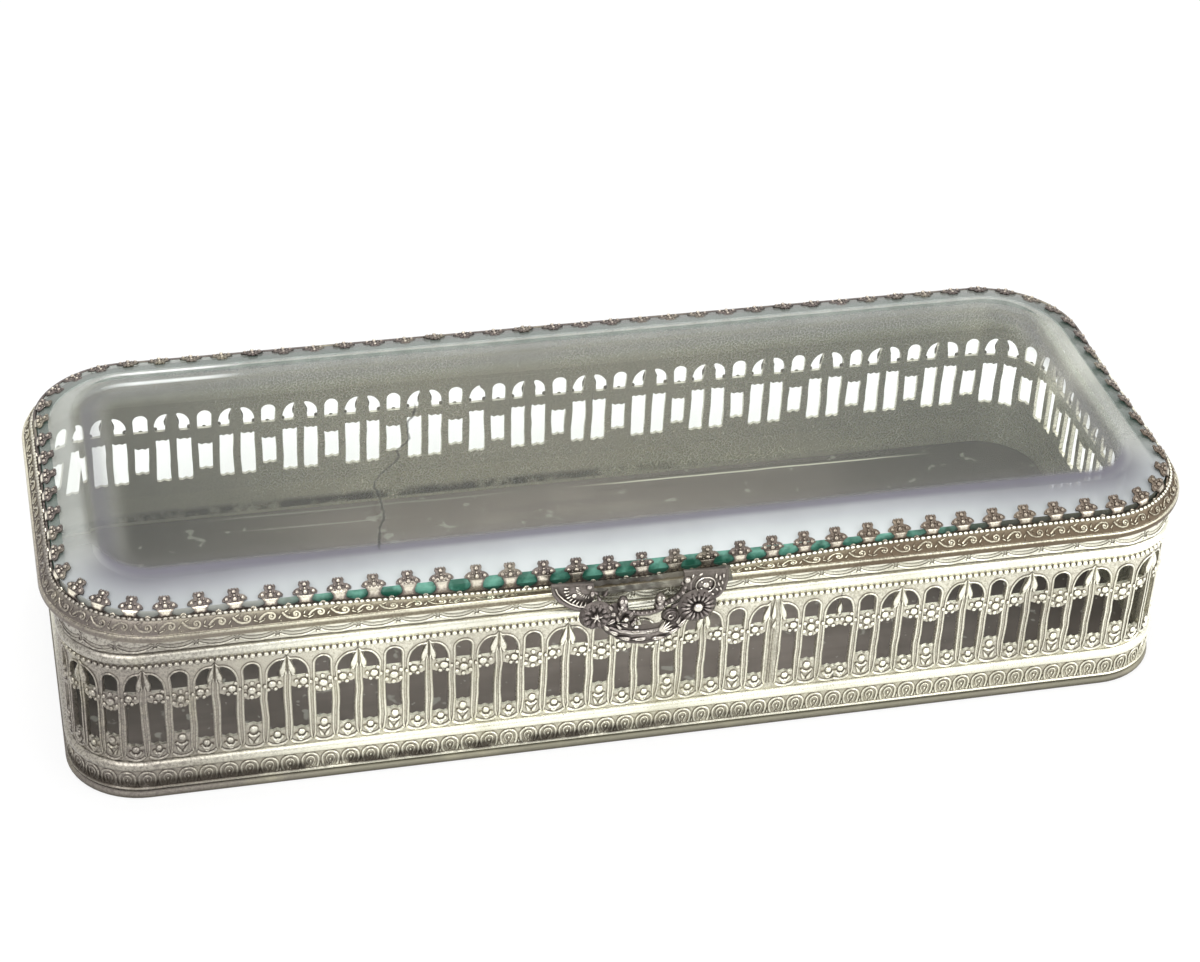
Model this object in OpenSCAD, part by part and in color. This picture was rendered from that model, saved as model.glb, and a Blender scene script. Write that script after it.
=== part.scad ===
// Glass casket: a low pierced-metal box whose bevelled glass lid is held by crown prongs.
// Length runs along X and depth along Y, with the front at -Y. The box stands on Z = 0,
// and the origin is the middle of its base. Outlines are rounded rectangles; a profile is
// drawn with x = distance outside its outline (so inwards is negative) and y = height.

/* [Base] */
// Length of the base
base_len = 290; // [220:1:400]
// Depth of the base
base_dep = 113; // [90:1:200]
// Corner radius of the base
base_r = 19.5; // [14:0.5:26]
// Height of the rolled foot rim
rim_h = 2.2; // [1.6:0.1:4]
// Width of the rim's ledge under the floor plate
ledge_w = 2.6; // [1.5:0.1:6]
// Thickness of the floor plate
floor_t = 0.9; // [0.5:0.1:1.4]
// Height of the stamped base moulding
molding_h = 9; // [7.5:0.1:16]
// Inset of the groove above the foot rim
groove_in = 1.2; // [0.8:0.1:1.4]
// Height of the groove above the foot rim
groove_h = 0.8; // [0.4:0.1:2]
// Inset of the egg band on the moulding
band_in = 0.7; // [0.3:0.1:1.1]
// Radius of the smooth roll on top of the moulding
roll_r = 1.6; // [1:0.1:2.2]

/* [Pierced wall] */
// Inset of the wall's outer face from the base outline
wall_in = 1.5; // [1.2:0.1:3]
// Thickness of the stamped wall
wall_t = 1; // [0.6:0.1:2]
// Height of the pierced wall
wall_h = 28.6; // [27.6:0.1:60]
// Width of one bay of the arcade
bay_w = 5.83; // [5.2:0.01:9]
// Width of an opening
slot_w = 3.9; // [2.5:0.1:4.4]
// Height of a long opening's foot above the wall's foot
long_foot = 4.7; // [4:0.1:5.7]
// Height of a long opening
long_h = 13.5; // [8:0.1:14]
// Height of a short opening's foot above the wall's foot
short_foot = 7.6; // [5:0.1:9]
// Height of a short opening
short_h = 8.3; // [4:0.1:9]
// Height of an arch opening's foot above the wall's foot
arch_foot = 21; // [20:0.1:21.5]
// Height of an arch opening
arch_h = 5.7; // [4.2:0.1:5.8]
// Width that the arch of a long bay loses at its foot to the capital's leaf
leaf_w = 1.5; // [0.5:0.1:2]
// Place along the front where the left strip ends
seam_x = 33.6; // [0:0.1:60]
// Length of the closing strip that fills the gap on the front
closer_len = 16.7; // [14:0.1:30]
// Place along the back where the two long strips meet
seam_back_x = -21.5; // [-60:0.5:60]
// Blank tab at the front end of the left strip
tab_left = 1.9; // [0:0.1:4]
// Blank tab at the left end of the closing strip
tab_closer = 0.5; // [0:0.1:3]
// Distance from the right strip's front end to the middle of its first opening
first_bay = 1.5; // [0:0.1:4]
// Least metal left between an opening and a strip's plain end
end_web = 1.2; // [0.8:0.1:3]

/* [Collar] */
// Thickness of the beaded wire above the wall
bead_d = 1.3; // [0.8:0.1:2.4]
// Height of the collar
collar_h = 8.8; // [7.5:0.1:16]
// Radius of the collar's smooth roll
collar_roll_r = 1.5; // [1:0.1:1.9]
// Height of the smooth roll's middle above the collar's foot
collar_roll_z = 2; // [1.9:0.1:4]
// Height of the plain foot below the swag frieze
frieze_z = 3.9; // [3:0.1:5]
// Inset of the swag frieze from the base outline
frieze_in = 1.2; // [0.8:0.1:1.4]

/* [Lid frame] */
// Gap between the closed lid and the collar
lid_gap = 0.3; // [0.2:0.05:1]
// How far the lid reaches out past the base outline
lid_over = 2.8; // [2:0.1:4]
// Corner radius of the lid
lid_r = 28.3; // [26:0.1:34]
// Height of the lid frame
frame_h = 5; // [4.5:0.1:8]
// Width of the lid frame
frame_w = 3.2; // [2.8:0.1:5]
// Radius of the frame's rolled edge
edge_r = 0.95; // [0.6:0.05:1.1]
// Width of the flat top of the frame
frame_top = 0.7; // [0.5:0.1:1.2]
// Thickness of the beaded wire on the lid
lid_bead_d = 1; // [0.6:0.1:1.6]
// Depth that the lid's beaded wire is let in
lid_bead_in = 0.4; // [0.2:0.05:0.5]

/* [Glass] */
// Thickness of the glass
glass_t = 6; // [4:0.1:9]
// Height of the glass's upright edge
glass_edge = 3.4; // [2:0.1:3.9]
// Width of the bevel
bevel_w = 9.5; // [5:0.1:15]
// Gap between the glass and the prong strip
glass_fit = 0.2; // [0.1:0.05:0.5]
// Height of the glass's underside above the frame's foot
glass_z = 3.3; // [2:0.1:3.8]
// Width of the ledge that the glass lies on
seat_w = 3.5; // [2.5:0.1:6]
// Thickness of the ledge
seat_t = 1; // [0.6:0.1:1.6]

/* [Prongs] */
// Thickness of the strip that carries the prongs
strip_t = 0.8; // [0.7:0.05:1.2]
// Thickness of the prongs
prong_t = 0.5; // [0.3:0.05:0.55]
// Spacing of the prongs
prong_pitch = 8.28; // [7:0.01:14]
// Width of a prong's neck
neck_w = 2.4; // [1.6:0.1:3]
// Width of a prong's skirt
skirt_w = 4.6; // [3:0.1:6]
// Height of a prong's skirt
skirt_h = 1.1; // [0.5:0.1:1.5]
// Radius of each of a prong head's lobes
lobe_r = 1.35; // [0.9:0.05:1.6]
// Spread of a prong head's side lobes from its middle
lobe_x = 1.6; // [1.2:0.05:2]
// Distance from a prong's bend to its side lobes
lobe_y = 1.9; // [1.5:0.1:2.5]
// Distance from a prong's bend to its top lobe
crown_y = 3.7; // [3:0.1:5]
// Angle of a prong's head above the level
prong_lean = 30; // [20:1:60]
// Clearance between a prong's bend and the glass
prong_gap = 0.2; // [0.1:0.05:0.6]

/* [Front mount] */
// Place of the mount's middle along the front
mount_x = -3; // [-40:0.5:40]
// Length of the front strap
strap_len = 45; // [40:0.5:70]
// Thickness of the front strap
strap_t = 0.8; // [0.5:0.1:1.5]
// How far the strap stops short of the lid's beaded wire
strap_clear = 0.5; // [0.4:0.1:1.2]
// Thickness of the cast garland
cast_t = 2.1; // [1.5:0.1:4]
// Radius of the shells
shell_r = 9; // [6:0.1:10]
// Distance of the rosettes from the mount's middle, as a share of the strap's length
rosette_share = 0.3; // [0.28:0.01:0.34]
// Distance of the rosettes below the strap's foot
rosette_drop = 6; // [4:0.1:8]
// Radius of the left rosette
rosette_left_r = 4.2; // [3:0.1:5.5]
// Radius of the right rosette
rosette_right_r = 5; // [3:0.1:5.5]
// Thickness of the rosettes
rosette_t = 1.4; // [0.8:0.1:3]
// Radius of the garland's lower curve, as a share of the strap's length
swag_share = 0.445; // [0.4:0.005:0.5]
// Depth of the garland at its middle
swag_w = 6; // [4:0.1:8]
// Drop of the garland's lowest point below the strap's foot
swag_drop = 16; // [13:0.1:18]

/* [Hinges] */
// Distance of each hinge from the middle of the box
hinge_x = 85; // [50:1:110]
// Length of a hinge
hinge_len = 26; // [18:0.5:40]
// Radius of a knuckle
knuckle_r = 2; // [1.6:0.1:2.4]
// Radius of a hinge pin
pin_r = 0.9; // [0.6:0.05:1]
// Radial clearance of the pin in the case's knuckles
pin_hold = 0.02; // [0.01:0.01:0.05]
// Radial clearance of the pin in the lid's knuckle
pin_run = 0.06; // [0.03:0.01:0.1]
// Gap between neighbouring knuckles
knuckle_gap = 0.3; // [0.2:0.05:0.6]
// Gap between the lid's edge and the knuckles
barrel_gap = 0.3; // [0.2:0.05:0.6]
// Thickness of the hinge leaves
leaf_t = 0.6; // [0.4:0.05:0.9]
// Height of the case leaf on the collar
leaf_h = 3; // [2:0.1:3.4]
// Radius of the pin's heads
pin_head_r = 1.4; // [1.2:0.05:1.6]
// Thickness of the pin's heads
pin_head_t = 0.6; // [0.4:0.1:1]

/* [Hidden] */
$fn = 48;

silver = [0.82, 0.81, 0.75];
dull_silver = [0.66, 0.64, 0.58];
tarnish = [0.43, 0.38, 0.39];
glass_tint = [0.75, 0.86, 0.84, 0.4];

// a hair more than nothing, for clean cuts
eps = 0.01;
fit = 0.05;
inner_in = wall_in + wall_t;
z_floor = rim_h;
z_wall = rim_h + molding_h;
z_bead = z_wall + wall_h;
z_collar = z_bead + bead_d;
z_top = z_collar + collar_h;
z_lid = z_top + lid_gap;
z_frame_top = z_lid + frame_h;
z_glass = z_lid + glass_z;
z_edge = z_glass + glass_edge;
lid_len = base_len + 2 * lid_over;
lid_dep = base_dep + 2 * lid_over;
strip_in = frame_w + strip_t;
glass_in = strip_in + glass_fit;
root_in = frame_w + strip_t / 2;
hinge_y = lid_dep / 2 + barrel_gap + knuckle_r;
hinge_z = z_top + lid_gap / 2;
collar_y = base_dep / 2 - frieze_in;
knuckle_len = (hinge_len - 2 * knuckle_gap) / 3;
strap_foot = z_lid + edge_r;
mount_y = -lid_dep / 2 - strap_t;
rosette_x = strap_len * rosette_share;
swag_r = strap_len * swag_share;

// ---- outlines ----

// Length of a rounded rectangle's edge
function edge_len(l, w, r) = 2 * (l + w - 4 * r) + 2 * PI * r;

// Place and heading at a distance s along the edge, from the middle of the front,
// first towards +X: [x, y, heading]
function on_edge(l, w, r, s) =
    let (
        total = edge_len(l, w, r),
        d = (s % total + total) % total,
        front = l / 2 - r,
        side = w - 2 * r,
        back = l - 2 * r,
        turn = PI * r / 2,
        a = front,
        b = a + turn,
        c = b + side,
        e = c + turn,
        f = e + back,
        g = f + turn,
        h = g + side,
        k = h + turn
    )
    d < a ? [d, -w / 2, 0]
    : d < b ? arc_point(front, -w / 2 + r, r, -90 + (d - a) / turn * 90)
    : d < c ? [l / 2, -w / 2 + r + d - b, 90]
    : d < e ? arc_point(front, w / 2 - r, r, (d - c) / turn * 90)
    : d < f ? [front - (d - e), w / 2, 180]
    : d < g ? arc_point(-front, w / 2 - r, r, 90 + (d - f) / turn * 90)
    : d < h ? [-l / 2, w / 2 - r - (d - g), 270]
    : d < k ? arc_point(-front, -w / 2 + r, r, 180 + (d - h) / turn * 90)
    : [d - total, -w / 2, 360];
function arc_point(x, y, r, t) = [x + r * cos(t), y + r * sin(t), t + 90];

// Puts children on the edge, facing outwards, with X along the edge
module at_edge(l, w, r, s) {
    p = on_edge(l, w, r, s);
    translate([p[0], p[1], 0]) rotate(p[2]) children();
}

// Sweeps a profile round the whole of a rounded rectangle
module ring(l, w, r) {
    for (a = [0, 180]) rotate(a) side_sweep(l - 2 * r, w / 2) children();
    for (a = [90, 270]) rotate(a) side_sweep(w - 2 * r, l / 2) children();
    for (a = [0, 180]) rotate(a) {
        corner_sweep(l / 2 - r, w / 2 - r, r, 0) children();
        corner_sweep(r - l / 2, w / 2 - r, r, 90) children();
    }
}
module side_sweep(len, out) {
    translate([-len / 2, out, 0]) rotate([90, 0, 90]) linear_extrude(len) children();
}
module corner_sweep(x, y, r, a) {
    translate([x, y, 0]) rotate(a) rotate_extrude(angle = 90) translate([r, 0]) children();
}

// A flat plate with rounded corners
module plate(l, w, r, t) {
    linear_extrude(t) union() {
        square([l - 2 * r, w], center = true);
        square([l, w - 2 * r], center = true);
        for (x = [-1, 1], y = [-1, 1]) translate([x * (l / 2 - r), y * (w / 2 - r)]) circle(r);
    }
}
// A profile from x1 to x2 and from z1 to z2
module block(x1, x2, z1, z2) {
    translate([x1, z1]) square([x2 - x1, z2 - z1]);
}

// ---- base ----

module foot_rim() {
    color(dull_silver) ring(base_len, base_dep, base_r) union() {
        translate([-rim_h / 2, rim_h / 2]) circle(rim_h / 2);
        block(-inner_in, -rim_h / 2, 0, rim_h);
        block(-inner_in - ledge_w, -inner_in + eps, 0, rim_h - floor_t);
    }
}

module floor_plate() {
    inset = inner_in + fit;
    color(dull_silver) translate([0, 0, z_floor - floor_t])
        plate(base_len - 2 * inset, base_dep - 2 * inset, base_r - inset, floor_t);
}

module base_molding() {
    color(silver) ring(base_len, base_dep, base_r) intersection() {
        union() {
            block(-inner_in, -groove_in, z_floor, z_wall - roll_r);
            block(-inner_in, -band_in, z_floor + groove_h, z_wall - roll_r);
            block(-inner_in, -wall_in, z_floor, z_wall);
            translate([-wall_in - (roll_r - wall_in) - 0.2, z_wall - roll_r]) circle(roll_r);
        }
        block(-inner_in, 0, z_floor, z_wall);
    }
}

// ---- pierced wall ----

wall_len = base_len - 2 * wall_in;
wall_dep = base_dep - 2 * wall_in;
wall_r = base_r - wall_in;
wall_edge = edge_len(wall_len, wall_dep, wall_r);
// distances along the wall's edge of the three joints
s_seam = seam_x;
s_closer = seam_x + closer_len;
s_back = (wall_edge / 2) - seam_back_x;

// One bay's pair of openings, upright in X and Y; kind 1 is the short bay in the middle of
// each group of three, and side is the direction of the nearest capital
module bay_openings(kind, side) {
    if (kind == 1) {
        translate([-slot_w / 2, short_foot]) square([slot_w, short_h]);
        translate([-slot_w / 2, arch_foot]) square([slot_w, arch_h - slot_w / 2]);
        translate([0, arch_foot + arch_h - slot_w / 2]) circle(slot_w / 2);
    } else {
        translate([-slot_w / 2, long_foot]) square([slot_w, long_h]);
        translate([0, arch_foot]) scale([side, 1]) leaf_arch();
    }
}
// The arch beside a capital: a quarter circle that the capital's leaf cuts on a slant
module leaf_arch() {
    intersection() {
        translate([slot_w / 2, 0]) circle(arch_h);
        polygon([[-slot_w / 2, 0], [slot_w / 2 - leaf_w, 0], [slot_w / 2, arch_h],
            [-slot_w / 2, arch_h]]);
    }
}
// Cuts the openings of a run of bays; the first bay's middle is at s0 and the rest follow
// in the direction dir
module cut_bays(s0, dir, count) {
    for (i = [0:count - 1])
        at_edge(wall_len, wall_dep, wall_r, s0 + dir * i * bay_w)
            translate([0, 0, z_wall]) rotate([90, 0, 0])
                linear_extrude(4 * wall_t, center = true)
                    bay_openings(i % 3, i % 3 == 0 ? -dir : dir);
}
// The plain wall, a band all the way round
module wall_band() {
    ring(wall_len, wall_dep, wall_r) block(-wall_t, 0, z_wall, z_bead);
}
// The part of the wall between two uprights: everything on the left or on the right
module wall_side(front_x, back_x, side) {
    far = base_len;
    intersection() {
        wall_band();
        linear_extrude(z_collar)
            polygon([[front_x, -far], [side * far, -far], [side * far, far], [back_x, far],
                [back_x, 0], [front_x, 0]]);
    }
}
bays_left = floor((wall_edge - s_back + s_seam - tab_left - end_web + (bay_w - slot_w) / 2)
    / bay_w);
bays_right = floor((s_back - s_closer - first_bay + bay_w / 2 - end_web
    + (bay_w - slot_w) / 2) / bay_w);

module wall_left() {
    color(silver) difference() {
        wall_side(seam_x, seam_back_x, -1);
        cut_bays(s_seam - tab_left - bay_w / 2, -1, bays_left);
    }
}
module wall_closer() {
    first = s_seam + tab_closer + bay_w / 2;
    count = ceil((closer_len - tab_closer - end_web) / bay_w);
    color(silver) difference() {
        translate([s_seam, -wall_dep / 2, z_wall]) cube([closer_len, wall_t, wall_h]);
        cut_bays(first, 1, count);
    }
}
module wall_right() {
    color(silver) difference() {
        wall_side(s_closer, seam_back_x, 1);
        cut_bays(s_closer + first_bay, 1, bays_right);
    }
}

// ---- collar ----

module collar_beading() {
    color(silver) ring(base_len, base_dep, base_r) union() {
        block(-inner_in, -wall_in, z_bead, z_collar);
        translate([-wall_in, (z_bead + z_collar) / 2]) circle(bead_d / 2);
    }
}
module collar() {
    color(silver) ring(base_len, base_dep, base_r) intersection() {
        union() {
            block(-inner_in, -wall_in, z_collar, z_top);
            block(-inner_in, -frieze_in, z_collar + frieze_z, z_top);
            translate([-wall_in - 0.3, z_collar + collar_roll_z]) circle(collar_roll_r);
        }
        block(-inner_in, 0, z_collar, z_top);
    }
}

// ---- hinges ----

// The bore through the knuckles from x1 to x2
module bore_cut(x1, x2, clear) {
    translate([x1 - 1, hinge_y, hinge_z]) rotate([0, 90, 0])
        cylinder(h = x2 - x1 + 2, r = pin_r + clear);
}
// The leaf on the case: a plate soldered to the collar, with an arm to each of two knuckles
module case_leaf(x) {
    x1 = x - hinge_len / 2;
    x2 = x + hinge_len / 2;
    arm_z = hinge_z - knuckle_r;
    color(dull_silver) {
        difference() {
            union() {
                translate([x1, collar_y, arm_z + leaf_t - leaf_h])
                    cube([hinge_len, leaf_t, leaf_h]);
                for (s = [x1, x2 - knuckle_len])
                    translate([s, collar_y, arm_z])
                        cube([knuckle_len, hinge_y - collar_y, leaf_t]);
                for (s = [x1, x2 - knuckle_len])
                    translate([s, hinge_y, hinge_z]) rotate([0, 90, 0])
                        cylinder(h = knuckle_len, r = knuckle_r);
            }
            bore_cut(x1, x2, pin_hold);
        }
    }
}
// The leaf on the lid: a plate soldered under the frame, with the middle knuckle
module lid_leaf(x) {
    x1 = x - knuckle_len / 2;
    inner = lid_dep / 2 - frame_w + 0.5;
    color(dull_silver) difference() {
        union() {
            translate([x - hinge_len / 2, inner, z_lid - leaf_t])
                cube([hinge_len, lid_dep / 2 - inner, leaf_t]);
            translate([x1, inner, z_lid - leaf_t])
                cube([knuckle_len, hinge_y - inner, leaf_t]);
            translate([x1, hinge_y, hinge_z]) rotate([0, 90, 0])
                cylinder(h = knuckle_len, r = knuckle_r);
        }
        bore_cut(x1, x1 + knuckle_len, pin_run);
    }
}
module hinge_pin(x) {
    x1 = x - hinge_len / 2;
    color(dull_silver) translate([x1, hinge_y, hinge_z]) rotate([0, 90, 0]) {
        translate([0, 0, -pin_head_t]) cylinder(h = pin_head_t, r = pin_head_r);
        translate([0, 0, -eps]) cylinder(h = hinge_len + 2 * eps, r = pin_r);
        translate([0, 0, hinge_len]) cylinder(h = pin_head_t, r = pin_head_r);
    }
}
module hinge_left_case_leaf() case_leaf(-hinge_x);
module hinge_right_case_leaf() case_leaf(hinge_x);
module hinge_left_lid_leaf() lid_leaf(-hinge_x);
module hinge_right_lid_leaf() lid_leaf(hinge_x);
module hinge_left_pin() hinge_pin(-hinge_x);
module hinge_right_pin() hinge_pin(hinge_x);

// ---- lid ----

// top outer corner of the lid frame's slope, and the foot of the slope on the rolled edge
slope_top = [-frame_w + frame_top, z_frame_top];
slope_foot = [-edge_r + edge_r * cos(50), z_lid + edge_r + edge_r * sin(50)];
bead_mid = [slope_top[0] - lid_bead_in, z_frame_top - lid_bead_in + lid_bead_d / 2];

module lid_frame() {
    color(silver) ring(lid_len, lid_dep, lid_r) difference() {
        union() {
            polygon([[-edge_r, z_lid], slope_foot, slope_top, [-frame_w, z_frame_top],
                [-frame_w, z_lid]]);
            translate([-edge_r, z_lid + edge_r]) circle(edge_r);
        }
        translate(bead_mid) circle(lid_bead_d / 2 + eps);
    }
}
module lid_beading() {
    color(silver) ring(lid_len, lid_dep, lid_r) intersection() {
        translate(bead_mid) circle(lid_bead_d / 2);
        block(-frame_w + fit, 0, z_lid, z_frame_top + lid_bead_d);
    }
}
// The ledge under the glass, with the leg that carries it
module glass_seat() {
    color(dull_silver) ring(lid_len, lid_dep, lid_r) union() {
        block(-strip_in - seat_t, -strip_in, z_lid, z_glass);
        block(-strip_in - seat_w, -strip_in, z_glass - seat_t, z_glass);
    }
}
module glass_plate() {
    l = lid_len - 2 * glass_in;
    w = lid_dep - 2 * glass_in;
    r = lid_r - glass_in;
    rise = glass_t - glass_edge;
    color(glass_tint) {
        translate([0, 0, z_glass]) plate(l, w, r, glass_edge);
        translate([0, 0, z_edge]) {
            bevel_prism(l - 2 * r, w / 2, rise);
            rotate(90) bevel_prism(w - 2 * r, l / 2, rise);
            for (x = [-1, 1], y = [-1, 1]) translate([x * (l / 2 - r), y * (w / 2 - r), 0])
                cylinder(h = rise, r1 = r, r2 = r - bevel_w);
        }
    }
}
// A bar along X whose two long sides slope in
module bevel_prism(len, half, rise) {
    translate([-len / 2, 0, 0]) rotate([90, 0, 90]) linear_extrude(len)
        polygon([[-half, 0], [half, 0], [half - bevel_w, rise], [bevel_w - half, rise]]);
}

root_len = lid_len - 2 * root_in;
root_dep = lid_dep - 2 * root_in;
root_r = lid_r - root_in;
prong_count = round(edge_len(root_len, root_dep, root_r) / prong_pitch);
prong_rise = z_edge + prong_gap - z_frame_top;

module prong_strip() {
    step = edge_len(root_len, root_dep, root_r) / prong_count;
    color(tarnish) {
        ring(lid_len, lid_dep, lid_r) block(-strip_in, -frame_w, z_lid, z_frame_top);
        for (i = [0:prong_count - 1])
            at_edge(root_len, root_dep, root_r, (i + 0.5) * step)
                translate([0, 0, z_frame_top]) prong();
    }
}
// One prong: a neck on a skirt, and a three-lobed head that leans in over the glass
module prong() {
    rotate([90, 0, 0]) linear_extrude(prong_t, center = true)
        polygon([[-skirt_w / 2, -0.4], [skirt_w / 2, -0.4], [skirt_w / 2, 0],
            [neck_w / 2, skirt_h], [neck_w / 2, prong_rise + prong_t / 3],
            [-neck_w / 2, prong_rise + prong_t / 3], [-neck_w / 2, skirt_h],
            [-skirt_w / 2, 0]]);
    // the head's stem is a little narrower than the neck and starts inside it
    translate([0, -prong_t / 8, prong_rise]) rotate([prong_lean, 0, 0])
        linear_extrude(prong_t) union() {
            translate([0.2 - neck_w / 2, 0]) square([neck_w - 0.4, crown_y]);
            for (x = [-lobe_x, lobe_x]) translate([x, lobe_y]) circle(lobe_r, $fn = 24);
            translate([0, crown_y]) circle(lobe_r * 0.85, $fn = 24);
        }
}

// ---- front mount ----

// A smooth strap over the frame's slope and its rolled edge
module front_strap() {
    slope = slope_top - slope_foot;
    n = [slope[1], -slope[0]] / norm(slope) * strap_t;
    top = slope_top - slope / norm(slope) * strap_clear;
    side = strap_len / 2;
    color(tarnish) translate([mount_x - side, -lid_dep / 2, 0]) mirror([0, 1, 0])
        rotate([90, 0, 90]) linear_extrude(strap_len) difference() {
            union() {
                polygon([slope_foot, slope_foot + n, top + n, top]);
                block(-edge_r, strap_t, strap_foot, slope_foot[1] + n[1]);
                translate([-edge_r, strap_foot]) circle(edge_r + strap_t);
            }
            translate([-edge_r, strap_foot]) circle(edge_r);
            polygon([[-edge_r, z_lid], slope_foot, slope_top, [-frame_w, z_frame_top],
                [-frame_w, z_lid]]);
            block(-2 * frame_w, 2 * strap_t, z_lid - 2 * strap_t, z_lid);
            block(-2 * frame_w, -edge_r, z_lid - 2 * strap_t, strap_foot);
        }
}
// Children's outline stands upright in front of the strap, with its back at mount_y
module cast_plate(t) {
    translate([mount_x, mount_y, strap_foot]) rotate([90, 0, 0]) linear_extrude(t) children();
}
module garland_mount() {
    end_x = strap_len / 2 - 0.5;
    bud_r = 1.7;
    color(tarnish) cast_plate(cast_t) union() {
        // shells under the strap's ends
        for (s = [-1, 1]) translate([s * (end_x - shell_r), 1.5]) intersection() {
            circle(shell_r);
            translate([-shell_r, -shell_r]) square([2 * shell_r, shell_r]);
        }
        // seats behind the rosettes
        translate([-rosette_x, -rosette_drop]) circle(rosette_left_r - 0.6);
        translate([rosette_x, -rosette_drop]) circle(rosette_right_r - 0.6);
        // hanging crescent
        difference() {
            translate([0, swag_r - swag_drop]) circle(swag_r);
            translate([0, swag_r - swag_drop + swag_w]) circle(swag_r + 0.6);
            translate([-2 * swag_r, -rosette_drop]) square([4 * swag_r, 4 * swag_r]);
        }
        // leafy rope above the crescent, with two buds
        difference() {
            translate([0, swag_r - 9.3]) circle(swag_r);
            translate([0, swag_r - 7]) circle(swag_r);
            translate([-2 * swag_r, -rosette_drop + 1.5]) square([4 * swag_r, 4 * swag_r]);
        }
        for (s = [-1, 1]) translate([s * 6, -5.6]) scale([1, 1.7]) circle(bud_r);
        for (s = [-1, 1]) translate([s * 9.5, -8]) circle(2.1);
    }
}
module rosette(s, r) {
    translate([mount_x + s * rosette_x, mount_y - cast_t, strap_foot - rosette_drop])
        rotate([90, 0, 0]) {
            cylinder(h = rosette_t * 0.5, r = r);
            cylinder(h = rosette_t, r = r * 0.45);
        }
}
module rosette_left() color(tarnish) rosette(-1, rosette_left_r);
module rosette_right() color(dull_silver) rosette(1, rosette_right_r);

foot_rim();
floor_plate();
base_molding();
wall_left();
wall_closer();
wall_right();
collar_beading();
collar();
hinge_left_case_leaf();
hinge_right_case_leaf();
hinge_left_pin();
hinge_right_pin();
hinge_left_lid_leaf();
hinge_right_lid_leaf();
lid_frame();
lid_beading();
glass_seat();
glass_plate();
prong_strip();
front_strap();
garland_mount();
rosette_left();
rosette_right();
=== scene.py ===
"""A glass casket: pierced silver walls on a stamped base, a bevelled glass lid in crown prongs.

Everything is modelled in millimetres, with the box's front at -Y, and made metres at the end.
A band of ornament is modelled flat, as a piece of the front: X along the wall, -Y outwards.
It is then repeated and wrapped round the box along an outline. Each point of a metal piece
carries "relief": 0 in the ground of the ornament and 1 on its tops. The tops are rubbed bright and
carry painted highlight; the ground and its corners are tarnished and carry painted shade.
"""
import math
import random

import bpy
import numpy as np
from mathutils import Matrix, Vector


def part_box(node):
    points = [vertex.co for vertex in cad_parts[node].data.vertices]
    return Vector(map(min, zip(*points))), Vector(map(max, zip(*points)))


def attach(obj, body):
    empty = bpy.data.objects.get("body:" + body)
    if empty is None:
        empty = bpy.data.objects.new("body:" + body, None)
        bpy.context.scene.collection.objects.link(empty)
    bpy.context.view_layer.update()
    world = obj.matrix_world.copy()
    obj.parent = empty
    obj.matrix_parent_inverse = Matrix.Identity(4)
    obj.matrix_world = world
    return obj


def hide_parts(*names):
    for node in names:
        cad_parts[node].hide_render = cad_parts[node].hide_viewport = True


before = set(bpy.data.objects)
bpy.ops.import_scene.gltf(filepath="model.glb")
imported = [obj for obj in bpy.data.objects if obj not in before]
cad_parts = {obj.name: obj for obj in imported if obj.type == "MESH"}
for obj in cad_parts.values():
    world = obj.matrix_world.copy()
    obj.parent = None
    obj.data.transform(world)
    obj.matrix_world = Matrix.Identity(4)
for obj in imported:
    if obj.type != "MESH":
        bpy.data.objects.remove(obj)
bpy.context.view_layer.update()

# ---- sizes of the casket, in millimetres ----
BASE = (290.0, 113.0, 19.5)      # length, depth and corner radius of an outline
WALL = (287.0, 110.0, 18.0)
LID = (295.6, 118.6, 28.3)
BAY = 5.83                       # what repeats, and how far apart
ARCH_PITCH, SWAG_PITCH, SCROLL_PITCH, PRONG_PITCH = 5.06, 9.78, 11.815, 8.28
UNIT = 3 * BAY                   # three bays make one group of the arcade
SLOT = 3.9
Z_WALL, Z_BEAD = 11.2, 39.8      # foot and top of the pierced wall
Z_FRAME = 55.2                   # top of the lid's frame
LEVELS = (17.5, 20.5, 23.5, 26.5)  # heights at which the wall's posts may bend
SEAM, CLOSER_END = 33.6, 50.3    # ends of the wall's three strips, along the edge
TAB_LEFT, TAB_CLOSER, FIRST_BAY = 1.9, 0.5, 1.5
SEAM_BACK_X, SEAM_GAP = -21.5, 0.05
MOUNT_X, MOUNT_Y = -3.0, -60.1   # middle of the casting, and the frame's face behind it
STRAP_LEN, STRAP_FOOT = 44.6, 51.15
SHEET_BACK = -2.4                # points this far within an outline are on a band's inner face
INSIDE = 0.57                    # relief of the sheet's plain inner face
DEEPEST_SAG = 3.1                # how far the mount has bent the frame's top edge down


# ---- outlines ----

def runs_of(outline):
    """The runs of an outline from the middle of the front: length, 1 if round, and steps."""
    length, depth, radius = outline
    half, side, turn = length / 2 - radius, depth - 2 * radius, math.pi * radius / 2
    corner = (turn, 1, 24)
    return ((half, 0, 12), corner, (side, 0, 8), corner, (2 * half, 0, 24), corner, (side, 0, 8),
            corner, (half, 0, 12))


def edge_length(outline):
    return sum(run for run, _, _ in runs_of(outline))


def on_edge(outline, s):
    """The point of an outline at s along it from the middle of the front, and the heading there."""
    x, y, heading, radius = 0.0, -outline[1] / 2, 0.0, outline[2]
    s %= edge_length(outline)
    for run, bends, _ in runs_of(outline):
        step = min(s, run)
        s -= step
        if bends:
            ahead = heading + step / radius
            x += radius * (math.sin(ahead) - math.sin(heading))
            y -= radius * (math.cos(ahead) - math.cos(heading))
            heading = ahead
        else:
            x += step * math.cos(heading)
            y += step * math.sin(heading)
        if s <= 0:
            break
    return x, y, heading


def inset(outline, by):
    return outline[0] - 2 * by, outline[1] - 2 * by, outline[2] - by


# ---- selecting, joining and placing ----

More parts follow.
